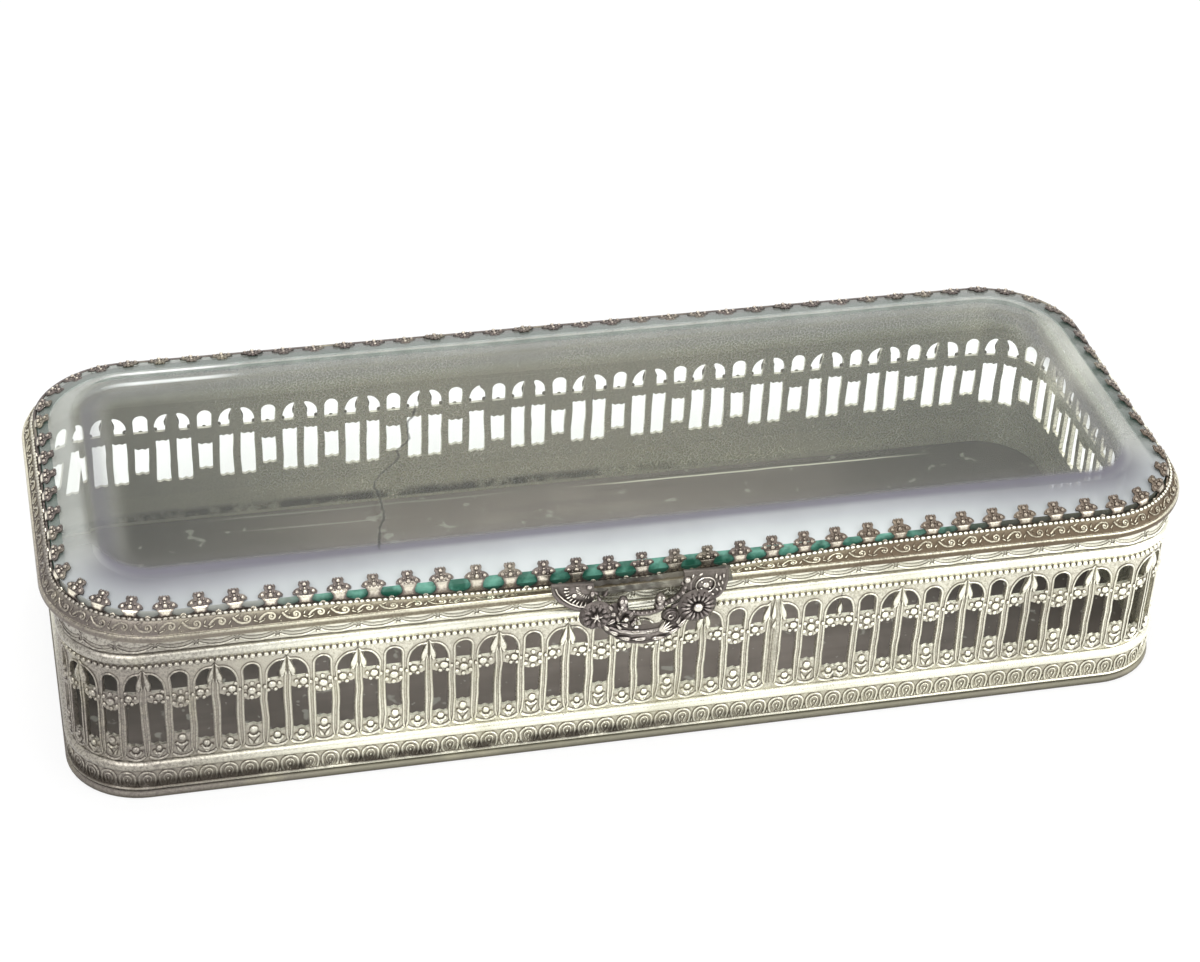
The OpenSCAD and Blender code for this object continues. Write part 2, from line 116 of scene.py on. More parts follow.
def take(*pieces):
    """Selects just these pieces, the first of them active."""
    if bpy.context.mode != "OBJECT":
        bpy.ops.object.mode_set(mode="OBJECT")
    bpy.ops.object.select_all(action="DESELECT")
    for piece in pieces:
        piece.select_set(True)
    bpy.context.view_layer.objects.active = pieces[0]
    return pieces[0]


def join(pieces):
    first = take(*pieces)
    if len(pieces) > 1:
        bpy.ops.object.join()
    return first


def added(name, data):
    """A new object of the scene."""
    piece = bpy.data.objects.new(name, data)
    bpy.context.collection.objects.link(piece)
    return piece


def copy_of(piece, matrix=Matrix.Identity(4)):
    twin = piece.copy()
    twin.data = piece.data.copy()
    bpy.context.collection.objects.link(twin)
    return transformed(twin, matrix)


def transformed(piece, matrix):
    piece.data.transform(matrix)
    return piece


def moved(x, y, z):
    return Matrix.Translation((x, y, z))


def turned(degrees, axis):
    return Matrix.Rotation(math.radians(degrees), 4, axis)


def placed(x=0.0, y=0.0, z=0.0, turn=0.0, size=(1, 1, 1)):
    """Makes a piece this size, turns it about Y and moves it."""
    return moved(x, y, z) @ turned(turn, "Y") @ Matrix.Diagonal((*size, 1))


def remove(*pieces):
    for piece in pieces:
        bpy.data.objects.remove(piece)


def edit(piece, chosen=None):
    """Opens a piece for editing with all of it selected, or the points that chosen picks."""
    take(piece)
    if chosen is not None:
        for part in (piece.data.polygons, piece.data.edges, piece.data.vertices):
            part.foreach_set("select", [False] * len(part))
        for vertex in piece.data.vertices:
            vertex.select = bool(chosen(vertex.co))
    bpy.ops.object.mode_set(mode="EDIT")
    bpy.ops.mesh.select_mode(type="VERT")
    if chosen is None:
        bpy.ops.mesh.select_all(action="SELECT")


def leave_edit():
    bpy.ops.object.mode_set(mode="OBJECT")


def cut_at(piece, x, keep):
    """Cuts a piece at x and keeps the left (-1) or the right (1) part, closed at the cut."""
    edit(piece)
    bpy.ops.mesh.bisect(plane_co=(x, 0, 0), plane_no=(-keep, 0, 0), use_fill=True,
                        clear_outer=True, threshold=0.0001)
    leave_edit()


def points_of(piece):
    """A piece's points as rows of x, y and z."""
    places = np.empty(len(piece.data.vertices) * 3, np.float32)
    piece.data.vertices.foreach_get("co", places)
    return places.reshape(-1, 3)


def set_points(piece, places):
    piece.data.vertices.foreach_set("co", places.astype(np.float32).ravel())
    piece.data.update()


def mark(piece, height):
    """Writes relief on a piece's points: height takes their x, y and z."""
    x, y, z = points_of(piece).T
    relief = np.clip(np.broadcast_to(height(x, y, z), len(x)), 0, 1).astype(np.float32)
    layer = piece.data.attributes.get("relief")
    if layer is None:
        layer = piece.data.attributes.new("relief", "FLOAT", "POINT")
    layer.data.foreach_set("value", relief)
    return piece


def raised(piece, top=0.38):
    """Marks ornament: dark where it meets the ground, for tarnish and painted shade, and bright
    from a height of top above it, for rubbed wear and painted highlight.
    """
    return mark(piece, lambda x, y, z: (-y - 0.04) / (top - 0.04))


def modified(piece, kind, **settings):
    """Applies a modifier with these settings to a piece."""
    take(piece)
    modifier = piece.modifiers.new("change", kind)
    for setting, value in settings.items():
        setattr(modifier, setting, value)
    bpy.ops.object.modifier_apply(modifier="change")
    return piece


def outset(outline, x, y):
    """How far points lie outside an outline; a ring's inner face lies well inside it."""
    length, depth, radius = outline
    past_x = np.maximum(np.abs(x) - (length / 2 - radius), 0)
    past_y = np.maximum(np.abs(y) - (depth / 2 - radius), 0)
    return np.hypot(past_x, past_y) - radius


# ---- forms that the ornament is made of ----

UPRIGHT = turned(90, "X")        # stands up what was made lying down


def curve(lines, closed=False, dimensions="3D", **settings):
    """A curve object through lines of points (x, y, z) or (x, y, z, radius)."""
    data = bpy.data.curves.new("line", "CURVE")
    data.dimensions = dimensions
    for line in lines:
        spline = data.splines.new("POLY")
        spline.points.add(len(line) - 1)
        for point, (x, y, z, *radius) in zip(spline.points, line):
            point.co = (x, y, z, 1)
            if radius:
                point.radius = radius[0]
        spline.use_cyclic_u = closed
    for setting, value in settings.items():
        setattr(data, setting, value)
    return added("line", data)


def drawn(lines, closed=False, **settings):
    """Lines of points made a mesh, as wires or a filled sheet."""
    take(curve(lines, closed, **settings))
    bpy.ops.object.convert(target="MESH")
    return bpy.context.object


def plate(outline, thick, edge):
    """A flat plate that faces -Y, from points (x, z), with its edges rounded off."""
    return transformed(drawn(
        [[(x, z, 0) for x, z in outline]], True, dimensions="2D", fill_mode="BOTH",
        extrude=thick, bevel_depth=edge, offset=-edge, bevel_resolution=0), UPRIGHT)


def tube(points, y=0.0):
    """A round bar through points (x, z, radius), tapered between them."""
    return drawn([[(x, y, z, radius) for x, z, radius in points]], bevel_depth=1.0,
                 bevel_resolution=2, use_fill_caps=True)


def wire(line, radius, closed=False, y=0.0, rise=1.0):
    """A wire along points (x, z), half sunk in the ground; rise flattens or raises it."""
    piece = drawn([[(x, 0, z) for x, z in line]], closed, bevel_depth=radius,
                  bevel_resolution=1, use_fill_caps=not closed)
    return transformed(piece, placed(0, y, 0, size=(1, rise, 1)))


def on_ellipse(x, z, rx, rz, degrees):
    a = math.radians(degrees)
    return x + rx * math.cos(a), z + rz * math.sin(a)


def arc(x, z, rx, rz, start, end, count):
    """Points on an ellipse, from one angle to another in degrees."""
    return [on_ellipse(x, z, rx, rz, start + (end - start) * i / count)
            for i in range(count + 1)]


def model_stud():
    """A domed stud on the ground, of radius and rise 1, that faces -Y."""
    bpy.ops.mesh.primitive_uv_sphere_add(segments=10, ring_count=6, radius=1)
    piece = transformed(bpy.context.object, UPRIGHT)
    edit(piece)
    bpy.ops.mesh.bisect(plane_co=(0, 0.02, 0), plane_no=(0, 1, 0), use_fill=True,
                        clear_outer=True)
    leave_edit()
    return piece


def model_leaf(stud):
    """A pointed leaf, from the stud drawn out to a tip at +Z."""
    piece = copy_of(stud)
    for above, width, thickness, out in ((0.25, 0.62, 1, 0.3), (1.0, 0.25, 0.7, 0.4)):
        edit(piece, lambda co: co.z > above)
        bpy.ops.transform.resize(value=(width, thickness, 1), center_override=(0, 0, 0))
        bpy.ops.transform.translate(value=(0, 0, out))
        leave_edit()
    return piece


STUD = model_stud()
LEAF = model_leaf(STUD)


def stud(x, z, rx, rz=None, rise=None, turn=0.0, y=0.0):
    rz = rx if rz is None else rz
    rise = min(rx, rz) * 0.8 if rise is None else rise
    return copy_of(STUD, placed(x, y, z, turn, (rx, rise, rz)))


def leaf(x, z, width, length, rise, turn=0.0, y=0.0):
    return copy_of(LEAF, placed(x, y, z, turn, (width / 2, rise, length / 2.6)))


def around(x, z, reach, angles, form, *size, y=0.0):
    """Studs or leaves set round a point, each of them heading away from it."""
    return [form(*on_ellipse(x, z, reach, reach, a), *size, 90 - a, y) for a in angles]


def sheet_through(rows, parts):
    """A sheet through level rows (half width, y, z), with so many parts in its width."""
    bpy.ops.mesh.primitive_grid_add(x_subdivisions=parts, y_subdivisions=len(rows) - 1, size=2)
    sheet = bpy.context.object
    x, y = points_of(sheet).T[:2]
    row = np.rint((y + 1) / 2 * (len(rows) - 1)).astype(int)
    halves, depths, heights = np.array(rows)[row].T
    set_points(sheet, np.column_stack((x * halves, depths, heights)))
    return sheet


def swept(profile, outline):
    """A closed profile of points (outset, z) carried all the way round an outline."""
    section = curve([[(out, z, 0) for out, z in profile]], True, "2D")
    stops, s = [0.0], 0.0
    for run, _, steps in runs_of(outline):
        stops += [s + run * (i + 1) / steps for i in range(steps)]
        s += run
    line = [(*on_edge(outline, s)[:2], 0) for s in stops[:-1]]
    ring = drawn([line], True, twist_mode="Z_UP", bevel_mode="OBJECT", bevel_object=section)
    remove(section)
    return ring


def wrapped(piece, outline):
    """Bends a flat strip round an outline: its x becomes the distance along the edge."""
    total = edge_length(outline)
    steps = int(2 * total)
    line = [(*on_edge(outline, 2 * total * i / steps - total)[:2], 0) for i in range(steps + 1)]
    edge = curve([line], twist_mode="Z_UP", use_path=True)
    modified(transformed(piece, moved(total, 0, 0)), "CURVE", object=edge, deform_axis="POS_X")
    remove(edge)
    return piece


def repeated(piece, count, step):
    return modified(piece, "ARRAY", count=count, use_relative_offset=False,
                    use_constant_offset=True, constant_offset_displace=(step, 0, 0),
                    use_merge_vertices=True, merge_threshold=0.002)


def worked_by_hand(piece, amount, reach, axes="XZ"):
    """Shifts the points a little along the wall, so that no two bays are quite the same."""
    for axis in axes:
        cloud = bpy.data.textures.new("hand_" + axis, "CLOUDS")
        cloud.noise_scale = reach if axis == "X" else reach * 0.8
        modified(piece, "DISPLACE", texture=cloud, direction=axis, mid_level=0.5,
                 strength=amount * 0.3 if axis == "Z" else amount)
    return piece


def finished(piece, name, body, material, node, angle=40.0):
    """Closes, smooths and names a piece, and gives it its finish and the body it rides on."""
    edit(piece)
    bpy.ops.mesh.remove_doubles(threshold=0.0008)
    bpy.ops.mesh.normals_make_consistent(inside=False)
    leave_edit()
    take(transformed(piece, Matrix.Scale(0.001, 4)))
    bpy.ops.object.shade_smooth_by_angle(angle=math.radians(angle))
    piece.name = name
    piece.data.materials.clear()
    piece.data.materials.append(material)
    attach(piece, body)
    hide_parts(node)
    return piece


# ---- finishes ----

class Value:
    """A node's output that takes Python arithmetic."""

    def __init__(self, finish, socket):
        self.finish, self.socket = finish, socket

    def _math(self, operation, *values, clamp=False):
        node = self.finish.node("Math", {"operation": operation, "use_clamp": clamp}, *values)
        return Value(self.finish, node.outputs[0])

    def __add__(self, other): return self._math("ADD", self, other)
    def __radd__(self, other): return self._math("ADD", other, self)
    def __sub__(self, other): return self._math("SUBTRACT", self, other)
    def __rsub__(self, other): return self._math("SUBTRACT", other, self)
    def __mul__(self, other): return self._math("MULTIPLY", self, other)
    def __neg__(self): return self._math("SUBTRACT", 0.0, self)
    def __pow__(self, other): return self._math("POWER", self, other)

    def clamped(self): return self._math("ADD", self, 0.0, clamp=True)
    def size(self): return self._math("ABSOLUTE", self)
    def at_least(self, low): return self._math("MAXIMUM", self, low)

    def rise(self, low, high):
        """0 below low and 1 above high, smooth between."""
        settings = {"interpolation_type": "SMOOTHSTEP"}
        node = self.finish.node("MapRange", settings, self, low, high, 0.0, 1.0)
        return Value(self.finish, node.outputs[0])


class Nodes:
    """The node tree of a material or the world."""

    def __init__(self, holder):
        holder.use_nodes = True
        self.tree = holder.node_tree

    def node(self, kind, settings, *inputs):
        """A new node, with what feeds or sets its first sockets."""
        node = self.tree.nodes.new("ShaderNode" + kind)
        for setting, value in settings.items():
            setattr(node, setting, value)
        for socket, value in zip([s for s in node.inputs if s.enabled], inputs):
            self.link(value, socket)
        return node

    def link(self, value, socket):
        if isinstance(value, Value):
            value = value.socket
        if isinstance(value, bpy.types.NodeSocket):
            self.tree.links.new(value, socket)
        elif socket.type == "RGBA" and len(value) == 3:
            socket.default_value = (*value, 1)
        else:
            socket.default_value = value


class Finish(Nodes):
    """A procedural material on one Principled shader."""

    def __init__(self, name, **constants):
        self.material = bpy.data.materials.new(name)
        super().__init__(self.material)
        self.shader = self.tree.nodes["Principled BSDF"]
        self.put(**constants)
        self.place = self.node("TexCoord", {}).outputs["Object"]
        axes = self.node("SeparateXYZ", {}, self.place).outputs
        self.x, self.y, self.z = (Value(self, axis) for axis in axes)

    def noise(self, scale, detail=3.0, rough=0.55, stretch=None):
        """Noise from 0 to 1 with features of about 1 / scale metres."""
        place = self.place
        if stretch:
            place = self.node("Mapping", {}, place, (0, 0, 0), (0, 0, 0), stretch).outputs[0]
        node = self.node("TexNoise", {}, place, scale, detail, rough)
        return Value(self, node.outputs[0])

    def relief(self):
        node = self.node("Attribute", {"attribute_name": "relief"})
        return Value(self, node.outputs["Fac"])

    def nooks(self, reach):
        """1 deep in the corners between raised forms, 0 on open ground."""
        node = self.node("AmbientOcclusion", {"samples": 4, "only_local": True}, (1, 1, 1), reach)
        return 1 - Value(self, node.outputs["AO"])

    def mix(self, factor, first, second):
        node = self.tree.nodes.new("ShaderNodeMix")
        node.data_type = "RGBA"
        sockets = {s.identifier: s for s in node.inputs}
        self.link(factor, sockets["Factor_Float"])
        self.link(first, sockets["A_Color"])
        self.link(second, sockets["B_Color"])
        return next(s for s in node.outputs if s.identifier == "Result_Color")

    def layered(self, base, *coats):
        """A base tone under coats, each of them a tone and the share of it that shows."""
        for tone, share in coats:
            base = self.mix(share, base, tone)
        return base

    def put(self, shader=None, **values):
        for socket, value in values.items():
            self.link(value, (shader or self.shader).inputs[socket.replace("_", " ")])

    def bump(self, height, strength, depth):
        node = self.node("Bump", {})
        self.put(node, Strength=strength, Distance=depth, Height=height)
        self.put(Normal=node.outputs[0])

    def show(self, shader):
        self.link(shader.outputs[0], self.tree.nodes["Material Output"].inputs["Surface"])


def silver(name, bright, middle, tarnish_and_shade_tone, mauve=0.35, rough=(0.24, 0.55), stripe=0.0, left_dull=1.0,
           gold=0.3, brown=0.0, foot=0.0, metal=0.85):
    """Old silver plate: bright on its tops, for rubbed wear and painted highlight, dark in its
    corners, for tarnish and painted shade, and tarnished in patches.

    mauve, gold and brown say how strong the patches of those colours are, left_dull how dull the
    left end is, stripe how black the groove over the base's bead is, and foot how much darker the
    foot's lowest edge is, dirty and carrying painted shade.
    """
    finish = Finish(name, Metallic=metal)
    cloud, grain = finish.noise(28, 4), finish.noise(1500, 3, 0.75)
    fine = finish.noise(3200, 2, 0.6)
    left = (-finish.x).rise(0.065, 0.135) * (1 - finish.y.rise(-0.030, 0.020) * 0.65)
    dull = (cloud.rise(0.48, 0.72) * mauve + left * left_dull).clamped()
    # painted shade in the corners between raised forms, where tarnish also lies
    nook_tarnish_and_shade = finish.nooks(0.0009).rise(0.12, 0.55)
    height = finish.relief() + (grain - 0.5) * 0.75 - nook_tarnish_and_shade * 0.75
    # low relief takes the dark tone, for tarnish and painted shade; high relief takes the bright
    # tone, for rubbed wear and painted highlight
    top = height.rise(0.0, 0.75)
    coats = [(middle, top), (bright, height.rise(0.5, 1.0) * (1 - dull * 0.8)),
             ((0.205, 0.180, 0.168), dull * 0.7)]
    if gold:
        coats.append(((0.50, 0.48, 0.33), finish.noise(55).rise(0.5, 0.75) * gold))
    if brown:
        right = finish.x.rise(0.0, 0.06) * (-finish.y).rise(0.0, 0.03)
        coats.append(((0.13, 0.098, 0.066), (right + cloud.rise(0.45, 0.7) * 0.3)
                      * (1.1 - height.rise(0.6, 1.2)) * brown))
    coats += [(tarnish_and_shade_tone, fine.rise(0.55, 0.68) * 0.4),
              ((0.105, 0.09, 0.085), grain.rise(0.42, 0.62) * left * 0.7 * left_dull)]
    if stripe:
        low = finish.z.rise(0.0028, 0.0034) * (1 - finish.z.rise(0.0046, 0.0068))
        blot = (finish.noise(160).rise(0.28, 0.55) + left * 0.6).clamped()
        coats.append(((0.055, 0.045, 0.035),
                      low * (1 - finish.x.rise(-0.02, 0.08)) * blot * stripe))
    # the foot's lowest edge darkened: dirty, and painted shade
    if foot:
        coats.append(((0.10, 0.09, 0.07), (1 - finish.z.rise(0.0005, 0.0016)) * foot))
    finish.put(Base_Color=finish.layered(tarnish_and_shade_tone, *coats),
               Roughness=rough[1] - top * (rough[1] - rough[0]) + dull * 0.1)
    finish.bump(grain * 0.6 + fine * 0.4, 0.3, 0.0002)
    return finish.material


WALL_SILVER = silver("worn_wall_silver", (0.97, 0.96, 0.82), (0.60, 0.575, 0.47),
                     (0.145, 0.125, 0.095))
BASE_SILVER = silver("worn_base_silver", (0.96, 0.95, 0.80), (0.65, 0.625, 0.50),
                     (0.155, 0.13, 0.095), stripe=0.95)
COLLAR_SILVER = silver("worn_collar_silver", (0.97, 0.965, 0.83), (0.74, 0.725, 0.60),
                       (0.20, 0.18, 0.14))
FRAME_SILVER = silver("gilded_frame_silver", (0.95, 0.92, 0.73), (0.50, 0.46, 0.33),
                      (0.07, 0.056, 0.033), brown=0.75)
PRONG_METAL = silver("tarnished_prong_metal", (0.90, 0.84, 0.69), (0.27, 0.23, 0.20),
                     (0.095, 0.08, 0.074), rough=(0.2, 0.42), left_dull=0.0, gold=0.35, brown=0.5)
CAST_METAL = silver("tarnished_cast_metal", (0.76, 0.72, 0.64), (0.28, 0.245, 0.23),
                    (0.085, 0.072, 0.066), rough=(0.2, 0.42), mauve=0.2, left_dull=0.0, gold=0.08)
STRAP_METAL = silver("tarnished_strap_metal", (0.33, 0.33, 0.28), (0.16, 0.155, 0.13),
                     (0.06, 0.055, 0.045), rough=(0.4, 0.6), mauve=0.4, left_dull=0.0, gold=0.2,
                     metal=0.5)
RIM_METAL = silver("foot_rim_metal", (0.66, 0.65, 0.55), (0.42, 0.41, 0.33),
                   (0.20, 0.19, 0.145), mauve=0.8, foot=0.9)
SEAT_METAL = silver("seat_metal", (0.10, 0.30, 0.22), (0.05, 0.19, 0.135), (0.02, 0.09, 0.06),
                    mauve=0.0, left_dull=0.0, gold=0.0, metal=0.2)
HINGE_METAL = silver("hinge_metal", (0.72, 0.70, 0.62), (0.45, 0.44, 0.38), (0.38, 0.37, 0.31))


def floor_metal():
    """The dull floor, stained and specked, darker towards its ends with painted shade, and with
    long scratches and a crease near the back wall, drawn as pale lines of painted highlight and
    dark lines of painted shade.
    """
    finish = Finish("grey_floor_metal", Metallic=0.05, Specular_IOR_Level=0.2)
    fine = finish.noise(900, 3, 0.7)
    coats = [((0.138, 0.114, 0.102), finish.noise(30, 4).rise(0.38, 0.65)),
             ((0.078, 0.064, 0.056), finish.noise(60, 3, 0.6, (0.15, 3, 1)).rise(0.4, 0.65) * 0.45),
             # painted shade: the floor darker towards both ends, and more so at the back
             ((0.018, 0.014, 0.012), finish.x.size().rise(0.03, 0.12)
              * (0.35 + finish.y.rise(-0.035, -0.005) * 0.6))]
    depth = finish.y + finish.x * 0.010 + (finish.noise(40, 2) - 0.5) * 0.0012
    # pale lines of painted highlight and dark lines of painted shade along the scratches and crease
    # near the back wall
    for place, half, strength, start, end, tone in (
            (0.0509, 0.0005, 0.95, 0.000, 0.118, (0.62, 0.60, 0.50)),
            (0.0522, 0.0008, 0.60, 0.010, 0.140, (0.02, 0.017, 0.015)),
            (0.0512, 0.0006, 0.45, -0.110, 0.000, (0.30, 0.29, 0.26)),
            (0.0446, 0.0005, 0.50, -0.100, -0.035, (0.32, 0.31, 0.28)),
            (0.0478, 0.0005, 0.50, 0.000, 0.060, (0.02, 0.017, 0.015))):
        line = depth.rise(place - half, place) * (1 - depth.rise(place, place + half))
        shown = finish.x.rise(start, start + 0.03) * (1 - finish.x.rise(end - 0.03, end))
        coats.append((tone, line * shown * strength))
    spots = finish.noise(170, 2, 0.6).rise(0.645, 0.70) + finish.noise(420, 2, 0.6).rise(0.69, 0.73)
    coats.append(((0.27, 0.265, 0.235), spots.clamped() * 0.5))
    finish.put(Base_Color=finish.layered((0.094, 0.076, 0.066), *coats),
               Roughness=0.55 + fine * 0.05)
    return finish.material


def lid_glass():
    """Clear glass that lets lamps through to what it covers. It is green where it is seen through
    its upright edge. On the bevel and a little way in from it a pale film of painted reflection
    shows, with a dark band of painted shade inside the bevel and a bright glint of painted
    reflection at the back left."""
    finish = Finish("lid_glass", Base_Color=(0.95, 0.98, 0.96), Transmission_Weight=1.0,
                    IOR=1.28, Roughness=0.015, Specular_IOR_Level=0.25)
    normal = finish.node("TexCoord", {}).outputs["Normal"]
    up = Value(finish, finish.node("SeparateXYZ", {}, normal).outputs[2])
    side = 1 - (up * up).rise(0.1, 0.5)
    # how far in from the edge: the outline's straight sides and round corners
    length, depth, radius = (v / 1000 for v in inset(LID, 4.2))
    past_x = (finish.x.size() - (length / 2 - radius)).at_least(0)
    past_y = (finish.y.size() - (depth / 2 - radius)).at_least(0)
    inward = radius - (past_x * past_x + past_y * past_y) ** 0.5
    cloud, smear = finish.noise(240), finish.noise(45)
    front = (-finish.y).rise(0.02, 0.045)
    bevel = 1 - (inward - front * 0.0045).rise(0.0078, 0.0115)
    shade = inward.rise(0.0095, 0.0120) * (1 - inward.rise(0.0130, 0.0200))
    # a bright glint of painted reflection along the bevel at the back left
    reflection_streak = (inward.rise(0.0078, 0.0086) * (1 - inward.rise(0.0092, 0.0104))
              * (-finish.x).rise(0.085, 0.10) * finish.x.rise(-0.130, -0.116)
              * finish.y.rise(0.02, 0.035))
    # an old crack that wanders from the back towards the front corner
    t = -finish.y
    crack_x = (-0.0466 - t.rise(-0.0184, -0.0039) * 0.0044 - t.rise(-0.0039, 0.0025) * 0.0034
               - t.rise(0.0025, 0.0170) * 0.0083 - t.rise(0.0290, 0.0430) * 0.0034)
    wander = (finish.noise(140) - 0.5) * 0.0035
    crack = 1 - (finish.x - crack_x + wander).size().rise(0.00010, 0.00065)
    crack = crack * t.rise(-0.0200, -0.0170) * (1 - t.rise(0.0400, 0.0450))
    under, top = (corner[2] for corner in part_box("glass_plate"))
    crack = crack * finish.z.rise(under * 0.7 + top * 0.3, under * 0.5 + top * 0.5)
    # painted reflection on the bevel: paler near the edge and at the front, darker further in and
    # towards the ends
    deep = inward.rise(0.001, 0.0135) * 0.8 + finish.x.size().rise(0.04, 0.13) * 0.45
    pale = finish.mix(deep.clamped(), (0.50, 0.53, 0.53), (0.15, 0.15, 0.17))
    # the film's colour: painted reflection on the bevel, painted shade just inside it, the painted
    # glint, and the crack
    reflection_shade_and_crack = finish.layered((0.38, 0.38, 0.32), (finish.mix(front, (0.52, 0.53, 0.50), pale), bevel),
                          ((0.10, 0.095, 0.12), shade * 0.8), ((1.0, 1.0, 1.0), reflection_streak),
                          ((0.02, 0.02, 0.016), crack))
    green = finish.mix(cloud.rise(0.35, 0.7), (0.02, 0.115, 0.075), (0.15, 0.40, 0.31))
    green = finish.layered((0.035, 0.028, 0.022), (green, front),
                           ((0.36, 0.37, 0.34), (-finish.x).rise(0.078, 0.100)),
                           ((0.075, 0.075, 0.055), finish.x.rise(0.062, 0.095)))
    film = finish.node("BsdfPrincipled", {})
    finish.put(film, Base_Color=finish.mix(side, reflection_shade_and_crack, green), Roughness=0.35,
               Specular_IOR_Level=0.25)
    # how much of the film shows: a faint film everywhere, the painted reflection and shade near the
    # bevel, the painted glint, and the crack
    haze_crack_and_painted_light = ((bevel * (0.25 + front * 0.6 + (smear - 0.5) * 0.4)).at_least(0.03)
            + shade * (0.30 - front * 0.16) + reflection_streak * 0.6 + crack * 0.7)
    share = (side * 0.88 + (1 - side) * haze_crack_and_painted_light).clamped()
    solid = finish.node("MixShader", {}, share, finish.shader.outputs[0], film.outputs[0])
    clear = finish.node("BsdfTransparent", {}, (0.93, 0.97, 0.95))
    path = finish.node("LightPath", {})
    lit = finish.node("MixShader", {}, path.outputs["Is Shadow Ray"], solid.outputs[0],
                      clear.outputs[0])
    finish.show(lit)
    return finish.material


FLOOR_METAL, GLASS = floor_metal(), lid_glass()


# ---- the pierced wall ----

def side_opening(side):
    """The opening beside a capital, cut on a slant; side is the way to the capital."""
    line = [(1.0, 32.2), (-1.75, 32.2), (-2.05, 32.5)]
    line += arc(1.4, 33.3, 3.52, 4.5, 180, 90, 9) + [(1.7, 37.5), (1.4, 35.6), (1.1, 33.7)]
    return [(x * side, z) for x, z in line]


def slot_opening(foot, top):
    """An upright slot whose ends bow a little towards the studs beyond them."""
    w = SLOT / 2
    return [(-w, foot + 0.05), (-w * 0.55, foot - 0.25), (0, foot + 0.2),
            (w * 0.5, foot - 0.3), (w, foot), (w, top + 0.35), (w * 0.5, top - 0.2),
            (0, top + 0.15), (-w * 0.45, top - 0.25), (-w, top + 0.3)]


def model_sheet():
    """The plain sheet of one group of three bays, pierced, with its outside at y = 0."""
    half, w = UNIT / 2, SLOT / 2
    lines = [[(-half, Z_WALL), (half, Z_WALL), (half, Z_BEAD), (-half, Z_BEAD)],
             [(-w * 0.96, 32.2), *arc(0, 35.95, w, 1.95, 180, 0, 12), (w * 0.96, 32.2)],
             slot_opening(18.9, 27.1)]
    for side in (-1, 1):
        for line in (side_opening(side), slot_opening(16.0, 29.4)):
            lines.append([(x + side * BAY, z) for x, z in line])
    sheet = drawn([[(x, z, 0) for x, z in line] for line in lines], True, dimensions="2D",
                  fill_mode="BOTH", extrude=0.5)
    edit(transformed(sheet, moved(0, 0.5, 0) @ UPRIGHT))
    bpy.ops.mesh.remove_doubles(threshold=0.0001)
    cuts = [((UNIT * i / 12 - half, 0, 0), (1, 0, 0)) for i in range(1, 12)]
    for place, across in cuts + [((0, 0, z), (0, 0, 1)) for z in LEVELS]:
        bpy.ops.mesh.select_all(action="SELECT")
        bpy.ops.mesh.bisect(plane_co=place, plane_no=across)
    leave_edit()
    # the side faces at both ends go, so that one group runs on into the next
    edit(sheet, lambda co: abs(abs(co.x) - half) < 0.001)
    bpy.ops.mesh.select_mode(type="FACE")
    bpy.ops.mesh.delete(type="FACE")
    leave_edit()
    return sheet


def up(x):
    """Points up a post of the arcade."""
    return [(x, z) for z in (*LEVELS, 29.5, 32.5)]


def bay_wire(side):
    """The wire round a bay; side is the way to the capital, or 0 in the middle bay."""
    foot = [(-2.36, 14.4)] + arc(0, 13.0, 2.62, 1.45, 165, 375, 11) + [(2.36, 14.4)]
    if side == 0:
        return foot + up(2.3) + arc(0, 35.95, 2.28, 2.3, 0, 180, 12) + up(-2.3)[::-1]
    line = foot + up(2.36) + [(2.36, 33.6), (2.7, 36.5), (2.82, 39.2)]
    line += [(2.3, 38.3)] + arc(1.5, 33.3, 3.85, 4.95, 90, 180, 9) + up(-2.32)[::-1]
    return [(x * side, z) for x, z in line]


def model_relief():
    """The ornament of one group of three bays."""
    parts = []
    for side in (-1, 0, 1):
        line = [(x + side * BAY, z) for x, z in bay_wire(side)]
        parts += [wire(line, 0.33, True, rise=1.15),
                  wire(arc(side * BAY, 13.05, 2.5, 1.45, 190, 350, 9), 0.42, rise=1.1)]
    # flowers across the arcade
    parts += [stud(0, 29.7, 1.2, 1.15, 1.0), stud(-4.9, 30.95, 1.12, 1.08, 0.9),
              stud(4.9, 30.95, 1.12, 1.08, 0.9)]
    low = around(0, 29.7, 2.1, (36, 90, 144, 216, 270, 324), stud, 0.7, 0.725, 0.6)
    low += around(-4.9, 30.95, 1.8, (-15, 60, 175, 240, 296), stud, 0.625, 0.6, 0.6)
    low += around(4.9, 30.95, 1.8, (5, 120, 195, 240, 300), stud, 0.625, 0.6, 0.6)
    # studs, crescents and shields at the feet of the bays
    parts += [stud(0, 17.5, 1.1, 1.1, 0.9),
              wire(arc(0, 17.0, 1.55, 1.75, 205, 335, 7), 0.42, y=-0.1, rise=1.2),
              leaf(-0.75, 13.6, 1.2, 3.0, 0.55, -24), leaf(0.75, 13.6, 1.2, 3.0, 0.55, 24)]
    for side in (-1, 1):
        x = side * BAY
        parts += [stud(x, 15.0, 0.92, 0.92, 0.8),
                  wire(arc(x, 14.9, 1.42, 1.75, 192, 348, 8), 0.4, y=-0.1, rise=1.2),
                  wire(arc(x, 12.95, 0.5, 0.5, 0, 360, 8)[:-1], 0.33, True, y=-0.1, rise=1.3)]
        # half of a capital: leaves that rise to its tip
        parts += [leaf(x + side * 1.9, 35.5, 1.9, 6.4, 0.85, side * 13),
                  leaf(x + side * 1.7, 33.6, 0.9, 2.8, 0.6, side * 28),
                  leaf(x + side * 2.5, 34.1, 0.7, 2.8, 0.5, side * 4)]
    return join([raised(join(parts)), raised(join(low), top=0.5)])


def sheet_relief(x, y, z):
    return np.where(y > 0.3, INSIDE, 0.62)


